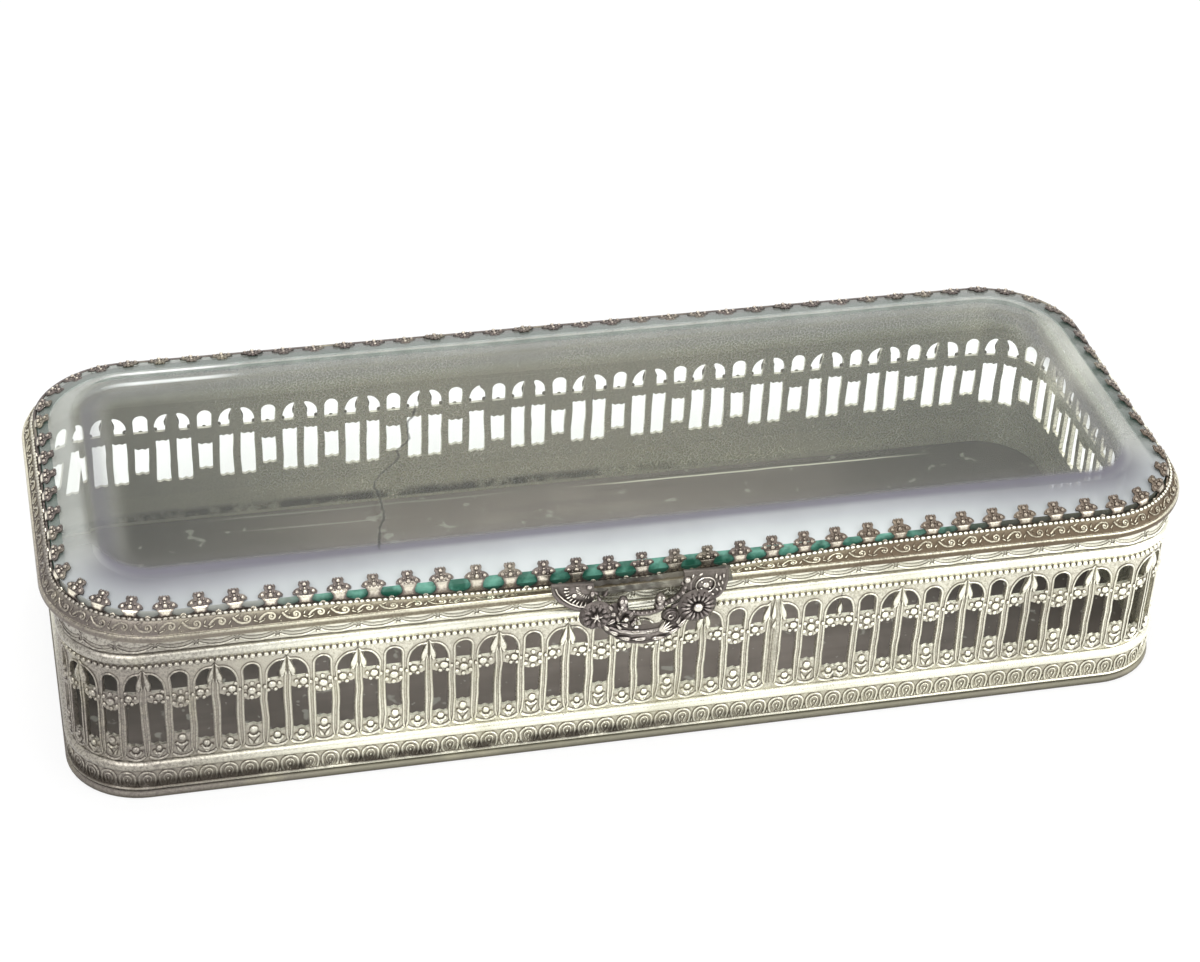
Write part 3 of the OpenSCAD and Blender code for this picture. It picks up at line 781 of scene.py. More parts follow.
def model_tab(x1, x2):
    """The blank end of a strip, between x1 and x2, with a stem chased on it if it is wide."""
    middle = (x1 + x2) / 2
    bpy.ops.mesh.primitive_cube_add(size=1)
    tab = transformed(bpy.context.object, placed(middle, 0.5, (Z_WALL + Z_BEAD) / 2,
                                                 size=(x2 - x1, 1, Z_BEAD - Z_WALL)))
    edit(tab)
    bpy.ops.mesh.subdivide(number_cuts=3)
    leave_edit()
    parts = [mark(tab, sheet_relief)]
    if x2 - x1 > 1.5:
        parts.append(raised(join([
            leaf(middle, 35.6, 1.5, 6.6, 0.7), leaf(middle + 0.3, 31.6, 1.2, 3.0, 0.5, 12),
            wire([(middle + 0.35, 13), (middle + 0.3, 22), (middle + 0.4, 30)], 0.24),
            wire([(middle - 0.4, 13), (middle - 0.35, 22), (middle - 0.45, 33)], 0.2)])))
    return parts


def wall_strip(node, unit, first, count, step, cuts, tabs=(), spread=None):
    """One strip of the wall: groups of bays, cut to length, and wrapped round the case."""
    strip = repeated(copy_of(unit, moved(first, 0, 0)), count, step)
    worked_by_hand(strip, 0.95, 8)
    if spread:
        # the bays of the short end are a little wider or narrower than those of the front
        near, far, amount = spread
        places = points_of(strip).astype(float)
        places[:, 0] += amount * np.clip((places[:, 0] - near) / (far - near), 0, 1)
        set_points(strip, places)
    for x, keep in cuts:
        cut_at(strip, x, keep)
    parts = [strip, *(part for tab in tabs for part in model_tab(*tab))]
    return finished(wrapped(join(parts), WALL), node + "_openwork", "case", WALL_SILVER,
                    node)


def build_walls():
    unit = join([mark(model_sheet(), sheet_relief), model_relief()])
    edge = edge_length(WALL)
    back = edge / 2 - SEAM_BACK_X
    corner = WALL[0] / 2 - WALL[2]
    far_corner = edge / 2 - corner
    column = SEAM - TAB_LEFT
    wall_strip("wall_left", unit, column - UNIT / 2, 23, -UNIT,
               ((column - 0.01, -1), (back - edge + SEAM_GAP, 1)),
               [(column - 0.01, SEAM - SEAM_GAP)], (-corner, -far_corner, 1.5 * BAY))
    column = SEAM + TAB_CLOSER
    wall_strip("wall_closer", unit, column + UNIT / 2, 1, UNIT,
               ((column + 0.01, 1), (CLOSER_END - SEAM_GAP, -1)),
               [(SEAM + SEAM_GAP, column + 0.01)])
    column = CLOSER_END + FIRST_BAY - BAY / 2
    wall_strip("wall_right", unit, column + UNIT / 2, 21, UNIT,
               ((CLOSER_END + SEAM_GAP, 1), (back - SEAM_GAP, -1)),
               spread=(corner, far_corner, 1.35 * BAY))
    remove(unit)


# ---- bands of ornament round the case ----

def ornament_ring(unit, outline, pitch):
    """As many copies of a unit as fit round an outline, evenly, and wrapped round it."""
    total = edge_length(outline)
    count = round(total / pitch)
    repeated(transformed(unit, placed(size=(total / count / pitch, 1, 1))), count, total / count)
    return wrapped(worked_by_hand(unit, 0.4, 9), outline)


def ring_relief(outline, height):
    """Relief of a swept band: plain on its inner face, and height of z outside."""
    return lambda x, y, z: np.where(outset(outline, x, y) < SHEET_BACK, INSIDE, height(z))


def bead_ring(radius, height, outline, pitch, y, z):
    bpy.ops.mesh.primitive_uv_sphere_add(segments=8, ring_count=5, radius=1)
    bead = transformed(bpy.context.object, placed(0, y, z, size=(pitch * 0.49, radius, height)))
    # each bead painted lighter on its upper front and darker on its lower back: painted highlight
    # and shade
    mark(bead, lambda x, y0, z0: 0.45 + (y - y0) / radius * 0.8 + (z0 - z) / height * 0.25)
    return ornament_ring(bead, outline, pitch)


def build_base_molding():
    """The stamped base: a smooth roll over a band of arches, and a rubbed bead at the foot."""
    ground = 0.85
    profile = [(-2.5, 2.2), (-1.15, 2.2), (-1.15, 2.5), (-0.75, 2.55), (-0.5, 2.7), (-0.4, 2.95),
               (-0.5, 3.2), (-ground, 3.4), (-ground, 5.0), (-ground, 6.7), (-ground, 8.4),
               *arc(-1.8, 9.6, 1.6, 1.6, -42, 90, 9), (-2.5, 11.2)]
    ring = mark(swept(profile, BASE), ring_relief(BASE, lambda z: np.where(
        z > 8.45, 0.95, np.where((z > 2.52) & (z < 3.3), 0.9, 0.55))))
    unit = raised(join([
        wire([(-1.6, 3.7), (-1.95, 4.6), *arc(0, 6.0, 2.05, 2.1, 190, -10, 12), (1.95, 4.6),
              (1.6, 3.7)], 0.36, rise=1.2),
        wire([(-0.5, 4.3), *arc(0, 5.85, 1.0, 1.2, 205, -25, 10), (0.5, 4.3)], 0.28, rise=1.3),
        stud(0, 5.55, 0.36, 0.5, 0.4), leaf(2.53, 4.1, 0.55, 1.8, 0.35),
        leaf(0, 3.8, 0.8, 0.9, 0.3)]))
    band = ornament_ring(transformed(unit, moved(0, ground, 0)), BASE, ARCH_PITCH)
    return finished(join([ring, band]), "base_egg_band", "case", BASE_SILVER,
                    "base_molding")


def build_collar():
    """The collar: a smooth roll under a frieze of hanging swags."""
    ground, half = 1.2, SWAG_PITCH / 2
    profile = [(-2.5, 41.1), (-1.5, 41.1), *arc(-1.8, 43.1, 1.5, 1.6, -75, 80, 10),
               (-1.45, 44.85), (-ground, 45.05), (-ground, 46.5), (-ground, 48.0),
               (-ground, 49.6), (-1.4, 49.9), (-2.5, 49.9)]
    ring = mark(swept(profile, BASE), ring_relief(BASE, lambda z: np.where(
        z < 44.75, 0.95, np.where(z < 45, 0.4, 0.78))))
    unit = raised(join([
        wire([(-4.35, 46.5), (-3.4, 45.95), (-2.2, 45.55), (-0.9, 45.35), (0.9, 45.35),
              (2.2, 45.55), (3.4, 45.95), (4.35, 46.5)], 0.36, rise=1.1),
        wire([(-4.1, 47.35), (-2.8, 46.85), (-1.2, 46.5), (1.2, 46.5), (2.8, 46.85),
              (4.1, 47.35)], 0.22),
        stud(-0.55, 49.0, 0.36), stud(0.55, 49.0, 0.36), stud(0, 48.1, 0.3),
        stud(half, 45.9, 0.55, 0.5), wire([(half, 46.4), (half - 0.1, 47.4), (half, 48.3)], 0.2),
        wire([(half, 48.2), (half - 0.6, 48.8), (half - 1.2, 49.5)], 0.2),
        wire([(half, 48.2), (half + 0.6, 48.8), (half + 1.1, 49.5)], 0.2),
        leaf(half - 0.7, 47.2, 0.5, 1.3, 0.25, -50), leaf(half + 0.7, 47.2, 0.5, 1.3, 0.25, 50)
    ]), top=0.3)
    band = ornament_ring(transformed(unit, moved(0, ground, 0)), BASE, SWAG_PITCH)
    return finished(join([ring, band]), "collar_swag_frieze", "case", COLLAR_SILVER,
                    "collar")


def build_collar_beads():
    strip = swept([(-2.5, 39.8), (-1.5, 39.8), (-1.4, 40.4), (-1.5, 41.1), (-2.5, 41.1)], BASE)
    mark(strip, ring_relief(BASE, lambda z: 0.4))
    beads = bead_ring(0.8, 0.78, WALL, 1.65, -0.1, 40.4)
    return finished(join([strip, beads]), "collar_bead_row", "case", WALL_SILVER,
                    "collar_beading", 60)


# ---- lid frame ----

def sag(x, y):
    """How far the mount has pulled the frame's top edge down, along the middle of the front."""
    away = np.abs(x - MOUNT_X)
    share = np.where(x < MOUNT_X, np.exp(-(away / 67) ** 3), np.exp(-(away / 46) ** 2))
    return np.where(y < -45, DEEPEST_SAG * share, 0)


def head_drop(x, y):
    """How far the heads of the crown prongs have gone down with it."""
    reach = np.where(x < MOUNT_X, 26, 40)
    return np.where(y < -45, 2.1 * np.exp(-((x - MOUNT_X) / reach) ** 2 / 2), 0)


def bent_at_mount(piece):
    """Lowers the upper edge of a lid piece by the sag, and leaves its foot where it is."""
    places = points_of(piece)
    x, y, z = places.T
    places[:, 2] -= sag(x, y) * np.clip((z - 52.2) / 2.9, 0, 1)
    set_points(piece, places)
    return piece


def on_slope(piece):
    """Lays ornament drawn upright at y = 0 on the frame's slope; z becomes the way up it."""
    return transformed(piece, moved(0, 0.6, 52.1) @ turned(-31.5, "X"))


def curl(x, z, start, sweep, tail):
    """A scroll: a tail that runs into a curl round (x, z)."""
    line = tail + [on_ellipse(x, z, 0.95 - 0.6 * t, 0.93 - 0.6 * t, start + sweep * t)
                   for t in [i / 14 for i in range(15)]]
    return join([wire(line, 0.33, rise=1.1), stud(x, z, 0.42, 0.42, 0.4)])


def build_lid_frame():
    profile = [(-3.2, 50.2), (-0.5, 50.2), (-0.12, 50.4), (0, 50.8), (0, 51.5), (-0.1, 51.85),
               (-0.3, 52.1), (-0.62, 52.12), (-0.75, 52.3), (-1.6, 53.7), (-2.35, 54.95),
               (-2.55, 55.2), (-3.2, 55.2)]
    # painted highlight along the top of the rolled edge, and tarnish with painted shade on its face
    # below
    ring = mark(swept(profile, LID), lambda x, y, z: np.where(
        z > 52.13, np.where(z > 54.9, 0.45, 0.05),
        np.where(z > 51.7, 1.0, np.where(z > 50.5, 0.3, 0.6))))
    parts = [curl(0, 1.95, 110, -390, [(-2.9, 1.35), (-2.3, 2.1), (-1.5, 2.7), (-0.8, 2.95)]),
             curl(5.95, 1.95, -90, 390, [(2.6, 2.75), (3.1, 2.1), (3.8, 1.45), (4.8, 1.02)])]
    parts += [leaf(*row) for row in (
        (-2.5, 0.95, 0.5, 2.2, 0.3, 68), (-3.9, 2.2, 0.45, 1.5, 0.28, 25),
        (3.7, 2.95, 0.5, 2.1, 0.3, 62), (1.85, 1.5, 0.5, 1.7, 0.3, 35),
        (8.0, 1.2, 0.5, 1.7, 0.3, 115))]
    parts += [stud(x, z, 0.26) for x, z in ((2.2, 0.6), (-1.7, 1.5), (4.3, 2.3))]
    band = ornament_ring(on_slope(raised(join(parts), top=0.28)), LID, SCROLL_PITCH)
    return finished(bent_at_mount(join([ring, band])), "lid_scroll_frame", "lid", FRAME_SILVER,
                    "lid_frame")


def build_lid_beads():
    beads = bead_ring(0.5, 0.48, inset(LID, 2.9), 1.42, 0, 55.3)
    return finished(bent_at_mount(beads), "lid_bead_row", "lid", WALL_SILVER,
                    "lid_beading", 60)


# ---- prongs ----

def model_neck():
    """The neck of a crown prong: a wide foot, a waist, and a lip that bends inwards at +Y."""
    rows = ((4.1, 0, -0.4), (4.0, 0, 0.05), (2.8, 0, 0.28), (1.85, 0, 0.6), (1.5, 0, 1.0),
            (1.5, 0.03, 1.35), (1.75, 0.15, 1.65), (2.05, 0.42, 1.88), (1.8, 0.85, 2.1))
    neck = modified(sheet_through(rows, 4), "SOLIDIFY", thickness=0.42, offset=0)
    halves, heights = [row[0] for row in rows], [row[2] for row in rows]
    # painted highlight along its middle and up towards its lip, painted shade towards both sides
    # and at its foot
    return mark(neck, lambda x, y, z: 0.6 + np.clip(z - 0.7, 0, 1) * 0.45 - (z < 0.3) * 0.2
                - 0.6 * (np.abs(x) > 0.8 * np.interp(z, heights, halves)))


def model_head():
    """The head of a crown prong, upright: two side tips, a notched top and studs on its face."""
    right = [(1.2, 0.0), (1.9, 0.1), (2.45, 0.45), (2.95, 0.6), (3.0, 1.0), (2.6, 1.55),
             (2.0, 1.95), (1.35, 2.1), (1.2, 2.5), (1.45, 2.95), (1.3, 3.5), (0.95, 3.8),
             (0.65, 3.5), (0.35, 3.85), (0, 3.6)]
    face = plate(right + [(-x, z) for x, z in right[-2::-1]], 0.2, 0.06)
    studs = [stud(x, z, r, r * 0.95, rise, y=-0.2) for x, z, r, rise in (
        (-1.95, 0.98, 0.62, 0.5), (1.95, 0.98, 0.62, 0.5), (0, 0.85, 0.72, 0.75),
        (0, 2.75, 0.66, 0.5), (0, 1.75, 0.42, 0.5), (-0.75, 3.3, 0.3, 0.32), (0.75, 3.3, 0.3, 0.32),
        (-1.0, 1.6, 0.36, 0.36), (1.0, 1.6, 0.36, 0.36), (-1.0, 0.42, 0.3, 0.3),
        (1.0, 0.42, 0.3, 0.3))]
    # the studs are painted lighter by their height and the plate behind them darker: painted
    # highlight and shade
    return mark(join([face, *studs]), lambda x, y, z: np.clip(0.1 + (-y - 0.2) / 0.8, 0, 0.72))


def build_prongs():
    neck, head = model_neck(), model_head()
    root = inset(LID, 3.6)
    count = round(edge_length(root) / PRONG_PITCH)
    spread = random.Random(7)

    def seat_at(step):
        """Of a place on the frame's top edge: its y, its sag, the heads' drop, and the place."""
        x, y, heading = on_edge(root, step * edge_length(root) / count)
        low = float(sag(x, y))
        place = moved(x, y, Z_FRAME - low) @ turned(math.degrees(heading), "Z")
        return y, low, float(head_drop(x, y)), place

    strip = swept([(-4.0, 50.2), (-3.2, 50.2), (-3.2, 55.2), (-3.35, 55.35), (-3.85, 55.35),
                   (-4.0, 55.2)], LID)
    # the strip stands a little higher along the back
    edit(strip, lambda co: co.z > 55 and co.y > 20)
    bpy.ops.transform.translate(value=(0, 0, 1.6))
    leave_edit()
    parts = [bent_at_mount(mark(strip, lambda x, y, z: np.where(y > 0, 0.1, 0.4)))]
    knob = join([wire(arc(0, 0.42, 0.5, 0.42, 0, 330, 8), 0.22, y=-0.35),
                 stud(0, 0.4, 0.2, y=-0.35)])
    mark(knob, lambda x, y, z: 0.8)
    for i in range(count):
        y, low, drop, seat = seat_at(i + 0.67)
        taller = 1 + max(low - drop, 0) / 1.9
        seat = seat @ turned(spread.uniform(-3.5, 5.0), "X")
        seat = seat @ turned(spread.uniform(-2.5, 2.5), "Y")
        parts.append(copy_of(neck, seat @ placed(size=(1, 1, taller))))
        # the heads lie flatter along the back, and stand up where the mount has bent them
        tilt = 46 * min(drop / 1.9, 1) - 60 - 18 * min(max((y - 30) / 20, 0), 1)
        parts.append(copy_of(head, seat @ moved(0, 0.36 - 0.2 * min(drop, 1), 1.86 * taller)
                             @ turned(tilt, "X")))
        parts.append(copy_of(knob, seat_at(i + 0.17)[-1]))
    remove(neck, head, knob)
    return finished(join(parts), "crown_prongs", "lid", PRONG_METAL,
                    "prong_strip", 50)


# ---- front mount ----

def fluted(radius, flutes, rise, hub, dish):
    """A round flower of radial flutes in a dished disc, round a hub."""
    bpy.ops.mesh.primitive_cone_add(vertices=40, radius1=radius * dish, radius2=radius * 0.8,
                                    depth=1.0)
    disc = transformed(bpy.context.object, UPRIGHT)
    edit(disc, lambda co: co.y < -0.4)
    bpy.ops.mesh.select_mode(type="FACE")
    for share, sunk in ((0.12, 0.3), (0.3, 0.15)):
        bpy.ops.mesh.inset(thickness=radius * share)
        bpy.ops.transform.translate(value=(0, sunk, 0))
    leave_edit()
    angles = [360 * i / flutes for i in range(flutes)]
    width = math.pi * radius * 0.55 / flutes
    flower = join([disc, *around(0, 0, radius * 0.68, angles, stud, width, radius * 0.34, rise,
                                 y=-0.1), stud(0, 0, hub, hub, hub * 1.05, y=-0.15)])
    # the flutes' tops carry painted highlight, strongest to the upper left, and the lower right is
    # dimmer with painted shade
    return mark(flower, lambda x, y, z: np.where(
        np.hypot(x, z) < hub * 1.02, -0.05 - y,
        np.clip((-0.35 - y) / rise, 0, 0.3) * 1.3
        + np.clip((-0.6 - y) / rise, 0, 1)
        * np.exp(-((np.hypot(x, z) - radius * 0.6) / 0.45) ** 2)
        * np.where(x * 0.6 - z < 0.5 * radius, 1.6, 0.6)))


def build_rosettes():
    ring = join([stud(x, z, 0.36, 0.36, 0.5, y=-0.35)
                 for x, z in arc(0, 0, 3.2, 3.2, 10, 342.4, 12)])
    star = join(around(0, 0, 0.9, range(18, 360, 72), leaf, 0.6, 1.5, 0.5, y=-0.75))
    left = join([fluted(3.9, 10, 0.6, 0.95, 1.08), mark(ring, lambda x, y, z: (-0.5 - y) / 0.8),
                 mark(star, lambda x, y, z: (-0.7 - y) / 0.6)])
    transformed(left, moved(MOUNT_X - 12.6, MOUNT_Y - 1.95, STRAP_FOOT - 4.9))
    finished(left, "rosette_left_flower", "lid", CAST_METAL, "rosette_left")
    right = fluted(4.4, 16, 0.85, 1.4, 1.12)
    transformed(right, moved(MOUNT_X + 13.2, MOUNT_Y - 1.85, STRAP_FOOT - 5.3))
    finished(right, "rosette_right_flower", "lid", CAST_METAL,
             "rosette_right")


def build_strap():
    """The strap that carries the casting: soldered along the frame's front, and bent with it."""
    strap = sheet_through([(STRAP_LEN / 2, y, z) for y, z in (
        (-59.8, 51.1), (-60.05, 51.4), (-60.05, 52.1), (-59.5, 52.6), (-58.7, 53.2),
        (-58.0, 53.9), (-57.5, 54.8), (-57.2, 55.6), (-57.0, 56.0))], 110)
    worked_by_hand(transformed(strap, moved(MOUNT_X, 0, 0)), 1.6, 9, "Z")
    worked_by_hand(strap, 1.0, 2.2, "Y")
    modified(strap, "SOLIDIFY", thickness=0.4, offset=0)
    bent_at_mount(transformed(strap, moved(0, 0.22, 0)))
    # darker along the strap's top, which leans in: painted shade; the waves mottle its tone
    mark(strap, lambda x, y, z: np.where(y > -57.7, 0.05, 0.3)
         + 0.45 * np.sin(x * 1.7 + 1.4 * np.sin(z * 2.1)) * np.sin(z * 3.1 + 0.9 * np.sin(x * 1.1)))
    return finished(strap, "front_strap_band", "lid", STRAP_METAL,
                    "front_strap")


def ribbed_leaf(x, z, width, length, turn, rise, rib, y):
    """A leaf, and a midrib on it that rises to rib."""
    return [leaf(x, z, width, length, rise, turn, y),
            leaf(x, z, width * 0.28, length * 0.9, rib, turn, y)]


def model_festoon():
    """Leaves over a hanging crescent, and buds and pearls on a rope; and the bright leaf."""
    # the crescent is in two layers: a broad one behind, and one that runs through the leaves
    crescent = tube([(-10.5, -8.8, 0.9), (-8.6, -10.3, 1.7), (-6.2, -11.6, 2.1),
                     (-3.2, -12.7, 2.5), (0, -13.1, 2.7), (3.2, -13.0, 2.7), (6.2, -12.2, 2.3),
                     (8.8, -10.8, 1.8), (11.0, -8.8, 1.1)])
    parts = [transformed(crescent, placed(0, -0.35, 0, size=(1, 0.42, 1)))]
    for y, line in (
            (-1.15, [(-9.0, -9.4, 0.4), (-6.0, -11.0, 0.6), (-3.0, -11.8, 0.7), (0, -12.0, 0.7),
                     (3.0, -11.8, 0.6), (5.0, -11.3, 0.4)]),
            (-0.8, [(-7.0, -13.0, 0.35), (-3.6, -14.9, 0.45), (0, -15.5, 0.5),
                    (3.6, -15.2, 0.45), (7.0, -13.9, 0.35), (9.6, -11.9, 0.3)]),
            (-0.7, [(-5.2, -5.2, 0.6), (-3.4, -5.9, 0.7), (-1.2, -6.4, 0.8), (1.2, -6.5, 0.8),
                    (3.0, -6.2, 0.7), (4.6, -5.7, 0.6)])):
        parts.append(tube(line, y))
    parts += [stud(x, z, r, r, 0.6, y=-1.1) for x, z, r in (
        (-2.9, -5.3, 0.42), (-1.9, -5.8, 0.5), (-0.8, -6.0, 0.42), (0.4, -6.1, 0.48),
        (1.5, -5.9, 0.42), (2.4, -5.8, 0.4))]
    # buds on the rope, each a heart-shaped pair of lobes over a stem
    for x, z in ((-5.6, -2.7), (3.9, -2.9)):
        parts += [stud(x, z - 1.9, 1.6, 1.3, 1.3, y=-0.4), stud(x, z, 1.45, 2.1, 1.3, y=-0.4),
                  stud(x - 0.5, z + 0.9, 0.62, 0.8, 0.5, 14, -1.4),
                  stud(x + 0.55, z + 0.8, 0.55, 0.7, 0.5, -14, -1.4),
                  stud(x - 0.3, z - 0.7, 0.55, 0.5, 0.55, y=-1.4),
                  stud(x + 0.5, z - 1.8, 0.5, 0.45, 0.6, y=-1.2),
                  leaf(x - 1.1, z - 1.2, 0.6, 1.7, 0.6, -25, -1.1)]
    # the mass of leaves between the left flower and the gap
    for *row, rise in (
            (-8.9, -3.4, 1.6, 3.4, -38, 0.9), (-8.2, -5.4, 1.5, 3.2, -75, 0.9),
            (-8.4, -7.6, 1.7, 3.6, -110, 0.9), (-6.4, -5.2, 1.2, 2.8, 20, 0.9),
            (-6.9, -7.2, 1.3, 3.0, -20, 0.9), (-3.6, -6.2, 1.3, 2.6, 35, 0.8),
            (-4.9, -9.2, 1.7, 3.2, -60, 0.9), (-3.0, -9.0, 1.3, 2.4, 30, 0.9)):
        parts += ribbed_leaf(*row, rise, rise * 1.35, -0.9)
    parts += [stud(*row, y=y) for *row, y in (
        (-7.4, -6.2, 3.2, 3.4, 1.0, -0.2), (-4.8, -7.4, 0.8, 0.75, 0.8, -1.3),
        (-2.4, -7.7, 0.42, 0.42, 0.6, -1.1), (-1.8, -8.2, 0.4, 0.4, 0.6, -1.1),
        (-2.1, -10.0, 0.75, 0.6, 0.7, -1.4), (-6.1, -3.9, 0.5, 0.5, 0.6, -1.3),
        (-3.4, -7.6, 1.5, 1.6, 0.8, -0.4))]
    # a scroll disc, and the bright leaf under it
    parts += [stud(6.8, -8.2, 2.5, 2.4, 1.1, y=-0.3),
              wire(arc(6.6, -8.1, 0.62, 0.6, 60, 380, 10), 0.24, y=-1.55, rise=1.2),
              wire(arc(6.8, -8.2, 1.7, 1.6, -60, 190, 12), 0.25, y=-1.15, rise=1.2)]
    bright = [leaf(*on_ellipse(3.6, -12.0, 1.5, 1.2, 90 - turn), 1.0, length, 0.75, turn, -1.35)
              for turn, length in ((28, 3.6), (46, 4.2), (64, 4.4), (82, 4.0), (100, 3.2))]
    # leaves over the crescent
    for row in ((-7.6, -11.2, 1.6, 3.6, -58), (-9.6, -9.4, 1.5, 3.0, -38),
                (-4.6, -13.3, 1.5, 3.8, -72), (-0.8, -13.9, 1.4, 4.2, -88),
                (3.4, -14.2, 1.4, 3.8, 84), (7.4, -12.6, 1.5, 3.6, 58), (9.4, -10.6, 1.5, 3.4, 42),
                (-2.0, -11.4, 1.0, 3.0, -80), (8.6, -9.6, 1.2, 2.8, 20),
                (1.2, -11.9, 1.0, 2.8, 82), (-6.4, -9.6, 1.2, 2.6, -40)):
        parts += ribbed_leaf(*row, 0.75, 1.05, -1.2)
    # pearls that climb to the right shell
    parts += [stud(x, z, r, r, r * 1.3, y=-0.9) for x, z, r in (
        (5.2, -4.0, 0.62), (6.7, -3.2, 0.66), (8.2, -2.3, 0.66), (9.4, -1.2, 0.66),
        (9.9, 0.3, 0.6), (10.3, 2.7, 1.0), (9.2, 1.6, 0.5), (11.6, 3.6, 0.5))]
    parts += [tube([(5.0, -4.6, 0.7), (7.0, -3.6, 0.8), (8.8, -2.4, 0.9), (9.9, -0.6, 0.9),
                    (10.4, 1.6, 0.9), (11.2, 3.4, 0.8)], -0.4),
              leaf(7.6, -5.2, 1.5, 3.2, 0.8, 55, -0.5), leaf(-11.7, -0.6, 1.4, 2.6, 1.1, -25, -0.5),
              leaf(-10.3, 0.6, 1.2, 2.6, 1.0, 30, -0.4), leaf(-12.6, 1.4, 1.1, 2.2, 0.9, -50, -0.6)]
    return parts, bright


def shell_back(outline):
    return transformed(plate(outline, 0.45, 0.12), moved(0, -0.6, 0))


def model_left_shell():
    """A straight-topped fan whose bright ribs spread from its heel to a double rim."""
    parts = [shell_back([(-23.8, 5.0), (-23.4, 3.0), (-22.6, 1.4), (-21.3, -0.1), (-19.5, -1.6),
                         (-17.6, -2.7), (-15.8, -3.3), (-14.2, -2.6), (-13.2, -0.5),
                         (-12.9, 2.0), (-13.4, 4.6)]),
             stud(-17.2, 2.2, 4.2, 2.7, 0.5, 18, -0.9),
             tube([(-23.6, 4.8, 0.5), (-23.0, 2.4, 0.62), (-21.6, 0.3, 0.7), (-19.5, -1.5, 0.72),
                   (-17.2, -2.7, 0.68), (-15.2, -3.1, 0.5)], -0.75),
             stud(-14.4, 3.6, 0.9, 0.7, 0.8, y=-1.0), stud(-13.6, 1.4, 0.7, 1.0, 0.8, y=-1.0)]
    bright = []
    for i in range(9):
        a = 178 + i * 9.6
        for reach, width, length in ((0.72, 0.62, 1.9), (0.42, 0.45, 1.5)):
            x, z = on_ellipse(-13.6, 3.9, 9.4 * reach, 7.9 * reach, a)
            length *= 0.8 + 0.2 * (i % 2)
            bright.append(leaf(x, z, width, length, 0.6, 270 - a, -1.15))
    bright += [wire([(-22.9, 4.4), (-22.2, 2.6), (-20.9, 0.9), (-19.0, -0.7), (-17.0, -1.8),
                     (-15.4, -2.1)], 0.3, y=-1.25, rise=1.4),
               stud(-18.2, 1.7, 0.75, 0.7, 0.6, y=-1.35)]
    return parts, bright


def model_right_shell():
    """A boss in a ring, beside a row of short ribs."""
    parts = [shell_back([(9.4, 5.0), (20.0, 4.8), (20.5, 2.6), (20.3, 0.4), (19.7, -1.6),
                         (18.6, -3.3), (16.5, -4.1), (13.5, -3.8), (11.0, -2.0), (9.8, 1.2)]),
             stud(15.0, 0.7, 2.6, 2.4, 0.65, y=-0.85), stud(15.0, 0.7, 1.1, 1.0, 1.0, y=-1.2),
             tube([(11.4, -0.6, 0.5), (11.3, 1.8, 0.6), (12.4, 3.7, 0.5)], -0.9),
             tube([(13.0, -3.9, 0.45), (16.0, -4.2, 0.6), (18.4, -3.4, 0.65), (19.9, -1.4, 0.65),
                   (20.5, 1.4, 0.6), (20.3, 4.5, 0.45)], -0.7)]
    bright = [wire(arc(15.0, 0.6, 2.45, 2.3, 100, 450, 22)[:-1], 0.25, True, y=-1.35, rise=1.3)]
    bright += [stud(x, z, 0.34, 0.3, 0.4, y=-1.4) for x, z in arc(15, 0.7, 1.5, 1.4, 45, 315, 3)]
    bright += [stud(x, z, 0.36, length / 2, 0.6, turn, -1.05) for x, z, length, turn in (
        (17.6, 2.9, 1.8, 4), (18.6, 2.2, 1.7, 0), (19.5, 2.7, 1.6, -4), (18.4, 0.3, 1.5, -24),
        (19.3, 0.7, 1.5, -10), (18.0, -1.2, 1.4, -42), (19.0, -1.2, 1.3, -30),
        (16.9, -2.4, 1.4, -62), (15.0, -3.0, 1.4, 90), (13.0, -2.4, 1.4, 62),
        (11.6, 3.6, 1.5, 20), (13.6, 3.9, 1.5, 60))]
    return parts, bright


def build_garland():
    """The casting: a festoon of leaves between two shells, bright on their ribs with rubbed wear
    and painted highlight.
    """
    parts, bright = [], []
    for dull_forms, bright_forms in (model_festoon(), model_left_shell(), model_right_shell()):
        parts += dull_forms
        bright += bright_forms
    piece = join([mark(join(parts), lambda x, y, z: -1.0 - y),
                  mark(join(bright), lambda x, y, z: 0.35 + (-1.2 - y) / 0.5)])
    transformed(piece, moved(MOUNT_X, MOUNT_Y + 0.05, STRAP_FOOT))
    return finished(piece, "garland_casting", "lid", CAST_METAL,
                    "garland_mount", 60)


build_walls()
build_base_molding()
build_collar()
build_collar_beads()
build_lid_frame()
build_lid_beads()
build_prongs()
build_rosettes()
build_strap()
build_garland()

# the nodes that keep their plain form
PLAIN = {"foot_rim": RIM_METAL, "floor_plate": FLOOR_METAL, "glass_seat": SEAT_METAL,
         "glass_plate": GLASS}
for node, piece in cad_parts.items():
    if node in PLAIN or node.startswith("hinge"):
        slots = piece.data.materials
        for i in range(len(slots)):
            slots[i] = PLAIN.get(node, HINGE_METAL)


# ---- camera, floor and light ----

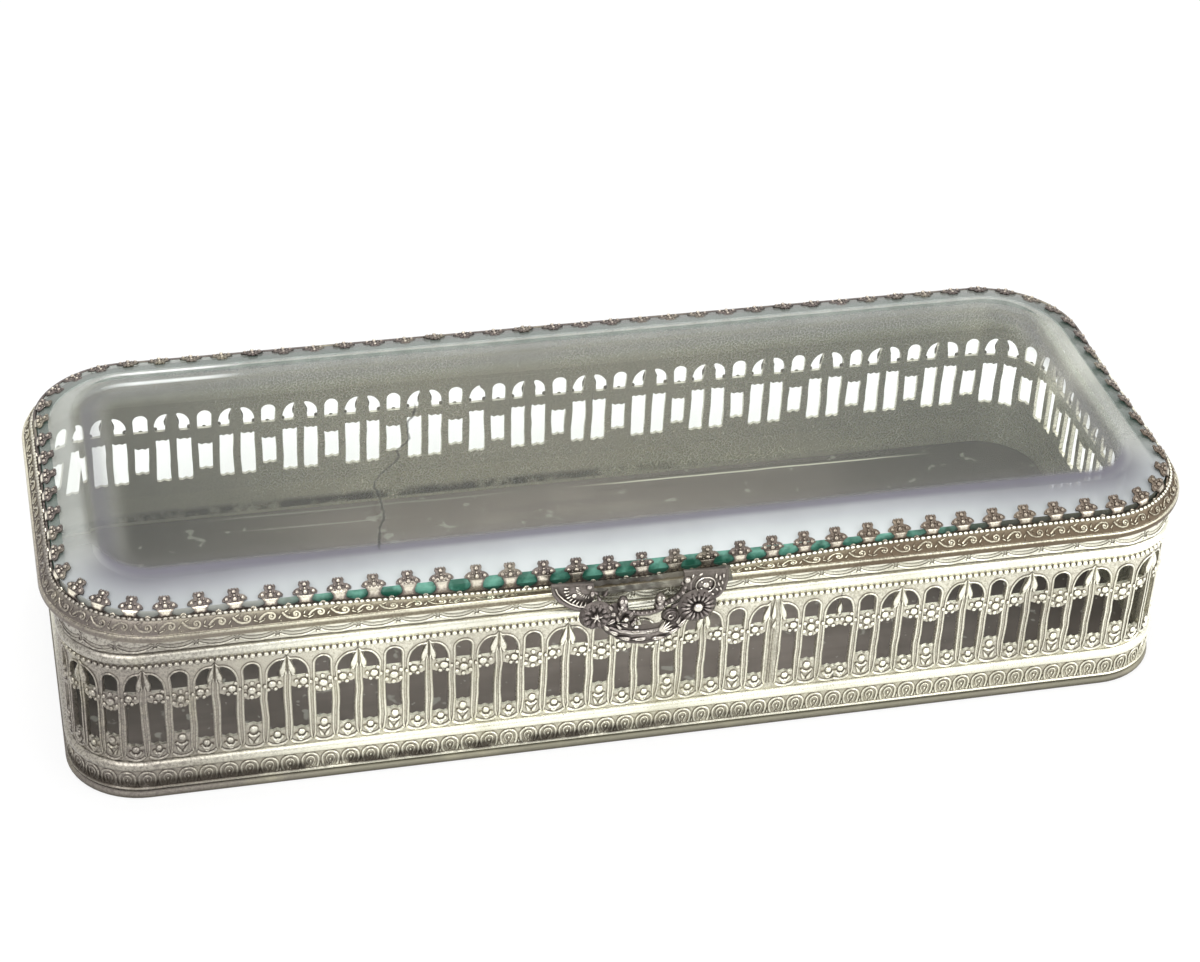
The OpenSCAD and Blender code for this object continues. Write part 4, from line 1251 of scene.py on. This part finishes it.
def set_stage():
    camera = added("camera", bpy.data.cameras.new("camera"))
    camera.data.lens, camera.data.sensor_width = 83.26, 36
    camera.data.sensor_fit = "HORIZONTAL"
    camera.matrix_world = Matrix(((0.97304, 0.09782, -0.20888, -0.15328),
                                  (-0.22725, 0.56160, -0.79559, -0.58398),
                                  (0.03948, 0.82161, 0.56869, 0.45968),
                                  (0, 0, 0, 1)))
    scene = bpy.context.scene
    scene.camera = camera
    scene.view_settings.view_transform = "Standard"

    # the world looks white, and lights matt surfaces less than that
    scene.world = bpy.data.worlds.new("studio")
    nodes = Nodes(scene.world)
    path = nodes.node("LightPath", {}).outputs
    seen = path["Is Camera Ray"]
    for kind in ("Is Glossy Ray", "Is Transmission Ray"):
        seen = nodes.node("Math", {"operation": "MAXIMUM"}, seen, path[kind]).outputs[0]
    level = nodes.node("MapRange", {}, seen, 0.0, 1.0, 0.55, 1.0)
    light = nodes.tree.nodes["Background"]
    nodes.link(level.outputs[0], light.inputs["Strength"])
    nodes.link((1, 1, 1), light.inputs["Color"])

    aim = Vector((0, 0, 0.03))
    for name, place, size, power in (("key", (-0.45, -0.65, 0.85), 0.85, 8.5),
                                     ("fill", (0.9, -0.6, 0.58), 1.25, 8.0),
                                     ("overhead", (0.13, 0.45, 1.12), 1.1, 8.5)):
        lamp = added(name, bpy.data.lights.new(name, "AREA"))
        lamp.data.size, lamp.data.energy = size, power
        lamp.location = place
        lamp.rotation_euler = (aim - Vector(place)).to_track_quat("-Z", "Y").to_euler()

    bpy.ops.object.select_all(action="DESELECT")
    bpy.ops.mesh.primitive_plane_add(size=6, location=(0, 0, 0))
    floor = bpy.context.object
    floor.name = "floor"
    paper = Finish("white_paper", Base_Color=(0.9, 0.9, 0.9), Roughness=0.9)
    glow = paper.node("Emission", {}, (1, 1, 1))
    path = paper.node("LightPath", {}).outputs
    share = paper.node("Math", {"operation": "MULTIPLY"}, path["Is Camera Ray"], 0.8)
    paper.show(paper.node("MixShader", {}, share.outputs[0], paper.shader.outputs[0],
                          glow.outputs[0]))
    floor.data.materials.append(paper.material)


remove(STUD, LEAF)
set_stage()
bpy.context.view_layer.update()
